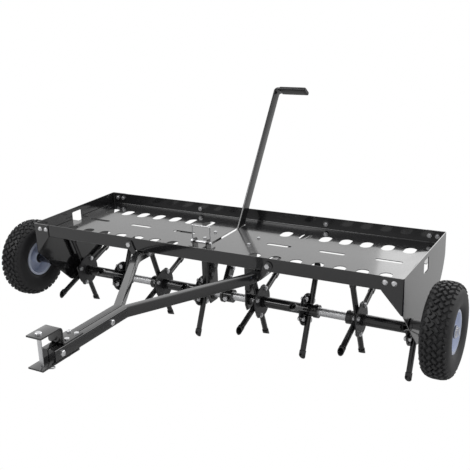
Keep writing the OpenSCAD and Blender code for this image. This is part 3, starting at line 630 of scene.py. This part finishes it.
def lathe(
    bm: bmesh.types.BMesh,
    outline: list[tuple[float, float]],
    matrix: Matrix,
    steps: int = 24,
    ring: bool = False,
) -> None:
    """Turns an outline round the local Z axis.

    Args:
        bm: Mesh to add to.
        outline: Pairs of radius and height.
        matrix: From local millimetres to the row frame.
        steps: Faces round the axis; 6 gives a hexagon.
        ring: True where the outline closes on itself, as on a tyre.
    """
    turn = [2 * math.pi * k / steps for k in range(steps)]
    rings = []
    for r, z in outline:
        points = [Vector((r * math.cos(a), r * math.sin(a), z)) for a in turn]
        rings.append([bm.verts.new(matrix @ point) for point in points])
    skin(bm, rings, ring)


def plain_mesh(name: str, bm: bmesh.types.BMesh) -> bpy.types.Mesh:
    """Turns mesh data in the making into a mesh.

    Args:
        name: The mesh's name.
        bm: Its data, freed here.
    Returns:
        The mesh.
    """
    mesh = bpy.data.meshes.new(name)
    bm.to_mesh(mesh)
    bm.free()
    return mesh


def show_piece(
    name: str,
    shape: bmesh.types.BMesh | bpy.types.Mesh,
    material: bpy.types.Material,
    body: str,
    replaced: tuple[str, ...],
) -> bpy.types.Object:
    """Makes a piece and puts it on its body.

    Args:
        name: The piece's name.
        shape: Its mesh, or mesh data in the making, in the row frame.
        material: Its finish, which holds the name of the record's slot.
        body: The body that it rides on.
        replaced: CAD nodes that it stands for.
    Returns:
        The object.
    """
    if isinstance(shape, bmesh.types.BMesh):
        bmesh.ops.recalc_face_normals(shape, faces=shape.faces)
        shape = plain_mesh(name, shape)
    shape.shade_smooth()
    shape.set_sharp_from_angle(angle=SHARP_ANGLE)
    shape.materials.clear()
    shape.materials.append(material)
    obj = bpy.data.objects.new(name, shape)
    bpy.context.scene.collection.objects.link(obj)
    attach(obj, body)
    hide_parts(*replaced)
    LOG.info("piece %s on %s for %s", name, body, ", ".join(replaced))
    return obj


def working_object(name: str, bm: bmesh.types.BMesh) -> bpy.types.Object:
    """Makes an object that is only a step towards a piece.

    Args:
        name: Its name.
        bm: Its mesh, freed here.
    Returns:
        The object.
    """
    obj = bpy.data.objects.new(name, plain_mesh(name, bm))
    bpy.context.scene.collection.objects.link(obj)
    return obj


def evaluated_mesh(name: str, source: bpy.types.Object) -> bpy.types.Mesh:
    """Turns a working object with its modifiers into a plain mesh and removes it.

    Args:
        name: The mesh's name.
        source: The working object.
    Returns:
        The mesh.
    """
    bpy.context.view_layer.update()
    depsgraph = bpy.context.evaluated_depsgraph_get()
    mesh = bpy.data.meshes.new_from_object(source.evaluated_get(depsgraph))
    mesh.name = name
    source.modifiers.clear()
    bpy.data.objects.remove(source)
    return mesh


# Tyres


@dataclass
class TreadRow:
    """One row of tread blocks on each side of the middle.

    Args:
        across: Distance of the row from the tyre's middle, in mm.
        count: Blocks round the tyre.
        size: Block's length round the tyre and width across, in mm.
        yaw: Turn of a block on the tread, in degrees.
        phase: Offset round the tyre, as a share of the pitch.
    """

    across: float
    count: int
    size: tuple[float, float]
    yaw: float
    phase: float


@dataclass
class Tyre:
    """Pneumatic tyre with a block tread, made for both wheels.

    Args:
        half_width: Half the width over the sidewalls, in mm.
        bead_r: Radius at the bead, in mm.
        block_h: Height of a tread block, in mm.
        crown: Power that flattens the section under the tread; 1 gives an ellipse.
        bulge: Power that flattens its sidewalls.
        facets: Faces of the carcass round the axle.
        stagger: Offset of the left half of the tread, as a share of the pitch.
        rows: Rows of blocks from the middle out.
    """

    half_width: float = 39.4
    bead_r: float = 54.0
    block_h: float = 6.5
    crown: float = 0.7
    bulge: float = 0.75
    facets: int = 96
    stagger: float = 0.5
    rows: tuple[TreadRow, ...] = (
        TreadRow(6.5, 38, (15.5, 9.0), 38.0, 0.0),
        TreadRow(19.5, 38, (15.0, 9.0), -38.0, 0.5),
        TreadRow(31.5, 38, (12.5, 11.0), 14.0, 0.0),
    )

    def outline(self, outer_r: float, steps: int = 44) -> list[tuple[float, float]]:
        """Section of the carcass, a rounded ring with its ground at the blocks' feet.

        Args:
            outer_r: Radius over the tread, in mm.
            steps: Points round the section.
        Returns:
            Pairs of radius and place across, in mm.
        """
        mid = (outer_r + self.bead_r) / 2
        reach = (outer_r - self.bead_r) / 2
        points = []
        for i in range(steps):
            a = 2 * math.pi * (i + 0.5) / steps
            up = math.copysign(abs(math.cos(a)) ** self.crown, math.cos(a))
            out = math.copysign(abs(math.sin(a)) ** self.bulge, math.sin(a))
            tread = max(0.0, up) * self.block_h
            points.append((mid + reach * up - tread, self.half_width * out))
        return points

    def radius_at(self, outer_r: float, across: float) -> tuple[float, float]:
        """Radius of the tread and its lean at a distance from the middle.

        Args:
            outer_r: Radius over the tread, in mm.
            across: Distance from the tyre's middle, in mm.
        Returns:
            The radius in mm and the lean in radians.
        """
        step = 0.5
        farthest = 0.98

        def height(x: float) -> float:
            """Radius of the tread at a distance from the middle, both in mm."""
            sine = min(farthest, x / self.half_width) ** (1 / self.bulge)
            mid, reach = (outer_r + self.bead_r) / 2, (outer_r - self.bead_r) / 2
            return mid + reach * math.cos(math.asin(sine)) ** self.crown

        slope = (height(across - step) - height(across + step)) / (2 * step)
        return height(across), math.atan(slope)

    def block(self, row: TreadRow) -> bpy.types.Object:
        """One tread block: X out from the axle, Y round the tyre, Z across it.

        Args:
            row: The row that it belongs to.
        Returns:
            A hidden template object.
        """
        length, width = row.size
        corner, sunk, flare = 1.6, 2.0, 0.6
        taper, edge_height, edge_width = 1.1, 0.8, 0.4
        foot = (-self.block_h - sunk, -flare)
        shoulder = (-edge_height, taper - edge_width)
        top = (0.0, taper)
        bm = bmesh.new()
        rings = []
        for x, inset in (foot, shoulder, top):
            ring = rounded_rect(length - 2 * inset, width - 2 * inset, corner, 1)
            rings.append([bm.verts.new((x * MM, u * MM, v * MM)) for u, v in ring])
        skin(bm, rings)
        return bpy.data.objects.new("tread_block", plain_mesh("tread_block", bm))

    def row_tree(self) -> bpy.types.NodeTree:
        """Geometry Nodes group that sets one row of blocks round the axle.

        Returns:
            A group whose inputs are the block and the row's sizes, in metres and radians.
        """
        tree = bpy.data.node_groups.new("tread_row", "GeometryNodeTree")
        tree.interface.new_socket("Block", in_out="INPUT", socket_type="NodeSocketGeometry")
        tree.interface.new_socket("Count", in_out="INPUT", socket_type="NodeSocketInt")
        for size in ("Radius", "Pitch", "Yaw", "Lean", "Across", "Phase"):
            tree.interface.new_socket(size, in_out="INPUT", socket_type="NodeSocketFloat")
        tree.interface.new_socket("Row", in_out="OUTPUT", socket_type="NodeSocketGeometry")
        t = NodeTree(tree)
        gin, gout = t.add("NodeGroupInput"), t.add("NodeGroupOutput")
        ring = t.add("GeometryNodeMeshCircle")
        t.link(gin, "Count", ring, "Vertices")
        t.link(gin, "Radius", ring, "Radius")
        turn = t.add("ShaderNodeMath", operation="MULTIPLY")
        t.link(t.add("GeometryNodeInputIndex"), 0, turn, 0)
        t.link(gin, "Pitch", turn, 1)
        angles = t.add("ShaderNodeCombineXYZ")
        t.link(gin, "Yaw", angles, "X")
        t.link(gin, "Lean", angles, "Y")
        t.link(turn, 0, angles, "Z")
        put = t.add("GeometryNodeInstanceOnPoints")
        t.link(ring, "Mesh", put, "Points")
        t.link(gin, "Block", put, "Instance")
        t.link(angles, 0, put, "Rotation")
        shift = t.add("GeometryNodeTransform")
        t.link(put, "Instances", shift, "Geometry")
        for size, target in (("Across", "Translation"), ("Phase", "Rotation")):
            upright = t.add("ShaderNodeCombineXYZ")
            t.link(gin, size, upright, "Z")
            t.link(upright, 0, shift, target)
        t.link(shift, "Geometry", gout, "Row")
        return tree

    def tread_tree(
        self, outer_r: float, rubber: bpy.types.Material
    ) -> tuple[bpy.types.NodeTree, dict[str, bpy.types.Object]]:
        """Geometry Nodes tree that sets every row's blocks on both sides of the carcass.

        Args:
            outer_r: Radius over the tread, in mm.
            rubber: The tyre's finish.
        Returns:
            The tree and the blocks that its inputs take, by the inputs' names.
        """
        tree = bpy.data.node_groups.new("tread", "GeometryNodeTree")
        tree.interface.new_socket("Carcass", in_out="INPUT", socket_type="NodeSocketGeometry")
        blocks = {f"Block {i}": self.block(row) for i, row in enumerate(self.rows)}
        for name in blocks:
            tree.interface.new_socket(name, in_out="INPUT", socket_type="NodeSocketObject")
        tree.interface.new_socket("Tyre", in_out="OUTPUT", socket_type="NodeSocketGeometry")
        t = NodeTree(tree)
        gin, gout = t.add("NodeGroupInput"), t.add("NodeGroupOutput")
        join = t.add("GeometryNodeJoinGeometry")
        t.link(gin, "Carcass", join, 0)
        row_tree = self.row_tree()
        for name, row in zip(blocks, self.rows):
            radius, lean = self.radius_at(outer_r, row.across)
            info = t.add("GeometryNodeObjectInfo")
            t.link(gin, name, info, "Object")
            for side in Side:
                phase = row.phase + (self.stagger if side is Side.LEFT else 0.0)
                ring = t.add(
                    "GeometryNodeGroup",
                    node_tree=row_tree,
                    Count=row.count,
                    Radius=radius * MM,
                    Pitch=2 * math.pi / row.count,
                    Yaw=math.radians(row.yaw) * side.value,
                    Lean=-lean * side.value,
                    Across=side.value * row.across * MM,
                    Phase=2 * math.pi * phase / row.count,
                )
                t.link(info, "Geometry", ring, "Block")
                t.link(ring, "Row", join, 0)
        real = t.add("GeometryNodeRealizeInstances")
        t.link(join, 0, real, 0)
        paint = t.add("GeometryNodeSetMaterial")
        paint.inputs["Material"].default_value = rubber
        t.link(real, 0, paint, "Geometry")
        t.link(paint, 0, gout, "Tyre")
        return tree, blocks

    def build(self, rubber: bpy.types.Material) -> None:
        """Makes both tyres over their CAD nodes.

        Args:
            rubber: The tyre's finish.
        """
        lo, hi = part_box("tyre_right")
        outer_r = (hi.z - lo.z) / 2 / MM
        tree, blocks = self.tread_tree(outer_r, rubber)
        bm = bmesh.new()
        lathe(bm, self.outline(outer_r), Matrix.Scale(MM, 4), self.facets, ring=True)
        bmesh.ops.recalc_face_normals(bm, faces=bm.faces)
        source = working_object("carcass", bm)
        mod = source.modifiers.new("tread", "NODES")
        mod.node_group = tree
        for socket in tree.interface.items_tree:
            if socket.name in blocks:
                mod[socket.identifier] = blocks[socket.name]
        whole = evaluated_mesh("tyre_tread", source)
        for side in Side:
            lo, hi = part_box(f"tyre_{side.word}")
            mesh = whole.copy()
            mesh.name = f"tyre_tread_{side.word}"
            out = float(side.value)
            axis = Matrix(((0.0, 0.0, out), (0.0, 1.0, 0.0), (-out, 0.0, 0.0))).to_4x4()
            mesh.transform(Matrix.Translation((lo + hi) / 2) @ axis)
            show_piece(mesh.name, mesh, rubber, f"wheel_{side.word}", (f"tyre_{side.word}",))
        bpy.data.meshes.remove(whole)


# Tray


@dataclass(frozen=True)
class SlotRow:
    """A row of slots with round ends, on both sides of the tray's middle.

    Args:
        first: Distance of the first slot from the pattern's middle, in mm.
        pitch: Distance between slots in mm.
        count: Slots on one side.
        depth: Place from front to back in mm.
        across: Size across the tray in mm.
        length: Size from front to back in mm.
    """

    first: float
    pitch: float
    count: int
    depth: float
    across: float
    length: float


@dataclass
class Tray:
    """Folded tray with its rows of slots cut through the floor.

    Args:
        sheet: Thickness in mm.
        bend: Inside radius of a bend in mm.
        wall: Height of the walls in mm.
        edge: Chamfer of the walls' upper edges in mm.
        shift: Sideways shift of the slot pattern in mm.
        rows: The rows of slots.
        lever: Place across, width, front end and rear end of the lever's slot in mm.
        notch: Depth, width and place from front to back of the gap at a hand hole, in mm.
    """

    sheet: float = 2.0
    bend: float = 3.0
    wall: float = 38.0
    edge: float = 0.4
    shift: float = -5.0
    rows: tuple[SlotRow, ...] = (
        SlotRow(142.0, 65.5, 7, -112.0, 35.0, 54.0),
        SlotRow(142.0, 65.5, 7, 112.0, 35.0, 54.0),
        SlotRow(168.0, 170.0, 3, 4.0, 80.0, 15.0),
    )
    lever: tuple[float, float, float, float] = (-33.0, 12.0, -119.0, 153.5)
    notch: tuple[float, float, float] = (24.0, 52.0, -2.6)

    def section(self, half_depth: float) -> list[tuple[float, float]]:
        """Section of the folded sheet.

        Args:
            half_depth: Half the depth over the walls in mm.
        Returns:
            Pairs of depth and height, in order round it.
        """
        outer = self.bend + self.sheet
        middle = (half_depth - outer, outer - self.wall - self.sheet)
        inside = half_depth - self.sheet
        steps = 6
        turn = [math.pi / 2 * k / steps for k in range(steps + 1)]

        def corner(sign: float, radius: float, angles: list[float]) -> list[tuple[float, float]]:
            """Arc of a bend, on the front or the rear by its sign."""
            arc = [(radius * math.cos(a), radius * math.sin(a)) for a in angles]
            return [(sign * (middle[0] + out), middle[1] - down) for out, down in arc]

        points = [(self.edge - half_depth, 0.0), (-half_depth, -self.edge)]
        points += corner(-1.0, outer, turn)
        points += corner(1.0, outer, turn[::-1])
        points += [(half_depth, -self.edge), (half_depth - self.edge, 0.0)]
        points += [(inside + self.edge, 0.0), (inside, -self.edge)]
        points += corner(1.0, self.bend, turn)
        points += corner(-1.0, self.bend, turn[::-1])
        points += [(-inside, -self.edge), (-inside - self.edge, 0.0)]
        return points

    def cut(
        self, bm: bmesh.types.BMesh, x: float, y: float, size: tuple[float, float], radius: float
    ) -> None:
        """Adds a cutter for an opening in the floor.

        Args:
            bm: Mesh to add to.
            x: Middle of the opening across the tray, in mm.
            y: Middle of the opening from front to back, in mm.
            size: Its size across the tray and from front to back, in mm.
            radius: Radius of its corners in mm.
        """
        reach = 8.0
        steps = 7
        matrix = frame_matrix(place(x, y, -self.wall - reach), RIGHT, REAR, UP)
        outline = rounded_rect(*size, radius, steps)
        rings = []
        for z in (0.0, 2 * reach):
            rings.append([bm.verts.new(matrix @ Vector((u, v, z))) for u, v in outline])
        skin(bm, rings)

    def openings(self, half_width: float) -> bmesh.types.BMesh:
        """Makes the cutters of all openings.

        Args:
            half_width: Half the tray's width in mm.
        Returns:
            Their mesh.
        """
        short_of_round = 0.05
        notch_corner = 1.0
        inward, width, middle = self.notch
        bm = bmesh.new()
        for side in Side:
            for row in self.rows:
                radius = min(row.across, row.length) / 2 - short_of_round
                for i in range(row.count):
                    x = self.shift + side.value * (row.first + i * row.pitch)
                    self.cut(bm, x, row.depth, (row.across, row.length), radius)
            self.cut(bm, side.value * half_width, middle, (2 * inward, width), notch_corner)
        x, width, front, back = self.lever
        self.cut(bm, x, (front + back) / 2, (width, back - front), width / 2 - short_of_round)
        bmesh.ops.recalc_face_normals(bm, faces=bm.faces)
        return bm

    def build(self, coat: bpy.types.Material) -> None:
        """Makes the tray over its CAD node.

        Args:
            coat: Powder coat.
        """
        lo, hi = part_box("tray")
        bm = bmesh.new()
        path = [Vector((lo.x / MM, 0.0)), Vector((hi.x / MM, 0.0))]
        section = self.section((hi.y - lo.y) / 2 / MM)
        sweep(bm, path, section, frame_matrix(datum(), RIGHT, REAR, UP))
        bmesh.ops.recalc_face_normals(bm, faces=bm.faces)
        sheet = working_object("folded_sheet", bm)
        tool = working_object("slot_cutters", self.openings(hi.x / MM))
        cut = sheet.modifiers.new("slots", "BOOLEAN")
        cut.operation = "DIFFERENCE"
        cut.solver = "EXACT"
        cut.object = tool
        mesh = evaluated_mesh("folded_tray", sheet)
        bpy.data.objects.remove(tool)
        show_piece("folded_tray", mesh, coat, "frame", ("tray",))


# Drawbar and hitch


@dataclass(frozen=True)
class Fastener:
    """A hexagon bolt with its nut.

    Args:
        shank: Thread diameter in mm.
        flats: Width across flats in mm.
        head: Height of the head and of the nut in mm.
        sunk: How far the shank starts inside the head, in mm.
        proud: How far the shank stands out of the nut, in mm.
        tip: Chamfer of the shank's end in mm.
    """

    shank: float
    flats: float
    head: float
    sunk: float = 1.0
    proud: float = 1.5
    tip: float = 0.8

    def add(self, bm: bmesh.types.BMesh, matrix: Matrix, grip: float) -> None:
        """Adds the bolt: head below local zero, shank up through the grip, nut on its end.

        Args:
            bm: Mesh to add to.
            matrix: From local millimetres to the row frame.
            grip: Thickness between head and nut in mm.
        """
        sides, facets = 6, 16
        corner = self.flats / 2 / math.cos(math.pi / sides)
        chamfer = 0.12 * self.flats
        slope = 0.6 * chamfer
        r = self.shank / 2
        nut_end = grip + self.head
        end = nut_end + (self.proud + self.tip)
        head = [(corner - chamfer, -self.head), (corner, slope - self.head), (corner, 0.0)]
        shank = [(r, -self.sunk), (r, nut_end + self.proud), (r - self.tip, end)]
        nut = [(corner, grip), (corner, nut_end - slope), (corner - chamfer, nut_end)]
        for outline, steps in ((head, sides), (shank, facets), (nut, sides)):
            lathe(bm, outline, matrix, steps)


@dataclass
class Drawbar:
    """Two tubes side by side that fork out under the tray, with the clevis hitch at their front.

    Args:
        width: Width of a tube in mm.
        height: Height of a tube in mm.
        edge: Radius of a tube's edges in mm.
        gap: Gap between the tubes in mm.
        front: Front end ahead of the tray's middle in mm.
        fork: Start of the fork in mm.
        fork_end: End of the fork in mm.
        bends: Radii at the start and the end of the fork in mm.
        under: Height of the tubes' upper face from the tray's edge, in mm.
        plate_w: Width of the hitch plates in mm.
        plate_t: Thickness of the hitch plates in mm.
        plate_bend: Radius of the upper plate's bends in mm.
        plate_edge: Radius of the plates' edges in mm.
        plate_top: Height of the upper plate's lower face above the tray's edge, in mm.
        upper: Rear end, bend and front end of the upper plate in mm.
        lower: Rear and front end of the lower plate in mm.
        side_bolts: Places of the bolts through both tubes in mm.
        foot_bolts: Place and number of plates of each pair of upright bolts.
        side_bolt: The size of the bolts through both tubes.
        foot_bolt: The size of the upright bolts.
        pin_r: Radius of the hitch pin in mm.
        pin_low: Lower end of the hitch pin in mm.
        pin_head: Height of its head, and how far that stands out, in mm.
        pin_edges: Chamfers of its lower end and of its head in mm.
    """

    width: float = 20.0
    height: float = 28.0
    edge: float = 3.0
    gap: float = 2.6
    front: float = 826.0
    fork: float = 560.0
    fork_end: float = 225.0
    bends: tuple[float, float] = (25.0, 100.0)
    under: float = -40.0
    plate_w: float = 43.0
    plate_t: float = 4.0
    plate_bend: float = 8.0
    plate_edge: float = 0.7
    plate_top: float = 2.0
    upper: tuple[float, float, float] = (-731.0, -797.4, -864.0)
    lower: tuple[float, float] = (-748.0, -868.5)
    side_bolts: tuple[float, ...] = (-805.0, -627.0)
    foot_bolts: tuple[tuple[float, int], ...] = ((-775.0, 2), (-742.0, 1))
    side_bolt: Fastener = Fastener(8.0, 13.0, 5.3)
    foot_bolt: Fastener = Fastener(6.0, 10.0, 4.0)
    pin_r: float = 4.75
    pin_low: float = -83.5
    pin_head: tuple[float, float] = (5.0, 3.0)
    pin_edges: tuple[float, float] = (2.0, 1.4)

    @property
    def near(self) -> float:
        """Distance of a tube's middle from the part's middle, ahead of the fork."""
        return (self.width + self.gap) / 2

    def build(self, coat: bpy.types.Material, zinc: bpy.types.Material) -> None:
        """Makes the tubes, plates, bolts and pin over their CAD nodes.

        Args:
            coat: Powder coat.
            zinc: Zinc plate.
        """
        for side in Side:
            self.tube(side, coat)
        self.plates(coat)
        self.bolts(zinc)
        self.pin(zinc)

    def tube(self, side: Side, coat: bpy.types.Material) -> None:
        """Makes one tube with rounded edges and closed ends.

        Args:
            side: The tube's side.
            coat: Powder coat.
        """
        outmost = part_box("drawbar_tube_right")[1]
        rail = outmost.x / MM - self.width / 2
        front, fork, fork_end = -self.front, -self.fork, -self.fork_end
        back = (outmost.y - datum().y) / MM
        spots = ((self.near, front), (self.near, fork), (rail, fork_end), (rail, back))
        a, b, c, d = (Vector(spot) for spot in spots)
        first, second = self.bends
        path = [a, *arc_corner(a, b, c, first, 6), *arc_corner(b, c, d, second, 12), d]
        axis = place(0.0, 0.0, self.under - self.height / 2)
        matrix = frame_matrix(axis, RIGHT * side.value, REAR, UP)
        bm = bmesh.new()
        sweep(bm, path, rounded_rect(self.width, self.height, self.edge), matrix)
        name = f"rounded_tube_{side.word}"
        show_piece(name, bm, coat, "frame", (f"drawbar_tube_{side.word}",))

    def plates(self, coat: bpy.types.Material) -> None:
        """Makes the bent upper plate and the flat lower plate of the clevis.

        Args:
            coat: Powder coat.
        """
        t, bend = self.plate_t, self.plate_bend
        foot, web, nose = self.upper
        level, top = self.under + t / 2, self.plate_top + t / 2
        matrix = frame_matrix(place(0.0, 0.0, 0.0), REAR, UP, RIGHT)
        section = rounded_rect(t, self.plate_w, self.plate_edge, 2)
        a, b, c, d = (Vector(p) for p in ((foot, level), (web, level), (web, top), (nose, top)))
        path = [a, *arc_corner(a, b, c, bend, 6), *arc_corner(b, c, d, bend, 6), d]
        bm = bmesh.new()
        sweep(bm, path, section, matrix)
        show_piece("clevis_upper", bm, coat, "frame", ("hitch_plate_upper",))
        bm = bmesh.new()
        level = self.under - self.height - t / 2
        sweep(bm, [Vector((y, level)) for y in self.lower], section, matrix)
        show_piece("clevis_lower", bm, coat, "frame", ("hitch_plate_lower",))

    def bolts(self, zinc: bpy.types.Material) -> None:
        """Makes the bolts through the tubes, from side to side and from above.

        Args:
            zinc: Zinc plate.
        """
        outer = self.width + self.gap / 2
        bm = bmesh.new()
        for y in self.side_bolts:
            spot = place(outer, y, self.under - self.height / 2)
            self.side_bolt.add(bm, frame_matrix(spot, REAR, -UP, -RIGHT), 2 * outer)
        show_piece("tube_side_bolts", bm, zinc, "frame", ("drawbar_bolts",))
        bm = bmesh.new()
        for side in Side:
            for y, plates in self.foot_bolts:
                spot = place(side.value * self.near, y, self.under + self.plate_t)
                grip = self.height + plates * self.plate_t
                self.foot_bolt.add(bm, frame_matrix(spot, RIGHT, -REAR, -UP), grip)
        show_piece("hitch_foot_bolts", bm, zinc, "frame", ("hitch_bolts",))

    def pin(self, zinc: bpy.types.Material) -> None:
        """Makes the headed hitch pin.

        Args:
            zinc: Zinc plate.
        """
        lo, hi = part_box("hitch_pin")
        middle = Vector(((lo.x + hi.x) / 2, (lo.y + hi.y) / 2, datum().z))
        matrix = frame_matrix(middle, RIGHT, REAR, UP)
        height, out = self.pin_head
        tip, chamfer = self.pin_edges
        r, head = self.pin_r, self.pin_r + out
        under, top = self.plate_top + self.plate_t, self.plate_top + self.plate_t + height
        outline = [(r - tip, self.pin_low), (r, self.pin_low + tip), (r, under), (head, under)]
        outline += [(head, top - chamfer), (head - chamfer, top)]
        bm = bmesh.new()
        lathe(bm, outline, matrix, 32)
        show_piece("hitch_pin_turned", bm, zinc, "hitch_pin_body", ("hitch_pin",))


# Lever


@dataclass
class Lever:
    """Flat lift lever with its bent, sleeved grip.

    Args:
        width: Width of the flat bar in mm.
        thick: Thickness of the bar in mm.
        lean: Lean to the rear in the working position, in degrees.
        across: Place of the bar across the tray in mm.
        length: From the axle to the middle of the grip in mm.
        reach: Length of the bar's bent end in mm.
        axle: Place of the axle behind the tray's middle and below its top, in mm.
        foot: Lower end of the bar above the axle in mm.
        bend: Radius of the bar's middle at its bend in mm.
        edge: Radius of the bar's edges in mm.
        grip: Thickness and width of the grip in mm.
        grip_corner: Radius of the grip's corners in mm.
        bare: Length of the bent end that the grip leaves bare, in mm.
        over: How far the grip's closed end stands past the bar, in mm.
    """

    width: float = 36.0
    thick: float = 6.0
    lean: float = 35.5
    across: float = -33.0
    length: float = 722.0
    reach: float = 103.0
    axle: tuple[float, float] = (-7.6, -224.7)
    foot: float = 42.0
    bend: float = 10.0
    edge: float = 1.4
    grip: tuple[float, float] = (12.0, 38.0)
    grip_corner: float = 4.0
    bare: float = 15.0
    over: float = 6.6

    def build(self, coat: bpy.types.Material, vinyl: bpy.types.Material) -> None:
        """Makes the bar and the grip over their CAD nodes.

        Args:
            coat: Powder coat.
            vinyl: Grip's vinyl.
        """
        a = math.radians(self.lean)
        along = Vector((0.0, math.sin(a), math.cos(a)))
        wide = Vector((0.0, math.cos(a), -math.sin(a)))
        matrix = frame_matrix(place(0.0, *self.axle), RIGHT, along, wide)
        end = self.across + self.reach
        spots = ((self.across, self.foot), (self.across, self.length), (end, self.length))
        p, q, r = (Vector(spot) for spot in spots)
        section = rounded_rect(self.thick, self.width, self.edge, 3)
        bm = bmesh.new()
        sweep(bm, [p, *arc_corner(p, q, r, self.bend), r], section, matrix)
        show_piece("lever_bar", bm, coat, "rock_shaft", ("lift_lever",))
        self.sleeve(matrix, self.across + self.bare, end + self.over, vinyl)

    def sleeve(self, matrix: Matrix, start: float, end: float, vinyl: bpy.types.Material) -> None:
        """Makes the grip, a sleeve with rounded ends.

        Args:
            matrix: From local millimetres to the row frame.
            start: Inner end across the tray in mm.
            end: Outer end in mm.
            vinyl: Grip's vinyl.
        """
        thick, width = self.grip
        parts, round_end, end_size = 8, 2.0, 0.82
        between = [start + (end - start) * k / parts for k in range(1, parts)]
        bm = bmesh.new()
        rings = []
        for x in (start, start + round_end, *between, end - round_end, end):
            size = end_size if x in (start, end) else 1.0
            outline = rounded_rect(thick * size, width * (1 + size) / 2, self.grip_corner * size, 4)
            points = [Vector((x, self.length + u, v)) for u, v in outline]
            rings.append([bm.verts.new(matrix @ point) for point in points])
        skin(bm, rings)
        show_piece("grip_sleeve", bm, vinyl, "rock_shaft", ("lever_grip",))


def main() -> None:
    """Builds the scene: frame, camera, stage, finishes, tray, tyres, drawbar and lever."""
    logging.basicConfig(level=logging.INFO, format="%(message)s")
    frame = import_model()
    Camera().build()
    Stage().build()
    texture = make_texture_group()
    materials = {name: finish.build(texture) for name, finish in FINISHES.items()}
    slots = {s["node"]: s["material_slot"] for s in frame["record"]["subparts"]}
    for name, obj in frame["nodes"].items():
        obj.data.materials.clear()
        obj.data.materials.append(materials[slots[name]])
    Tray().build(materials["black_powder_coat"])
    Tyre().build(materials["tyre_rubber"])
    Drawbar().build(materials["black_powder_coat"], materials["zinc"])
    Lever().build(materials["black_powder_coat"], materials["grip_vinyl"])
    scene = bpy.context.scene
    scene.view_settings.view_transform = "Standard"


if __name__ == "__main__":
    main()
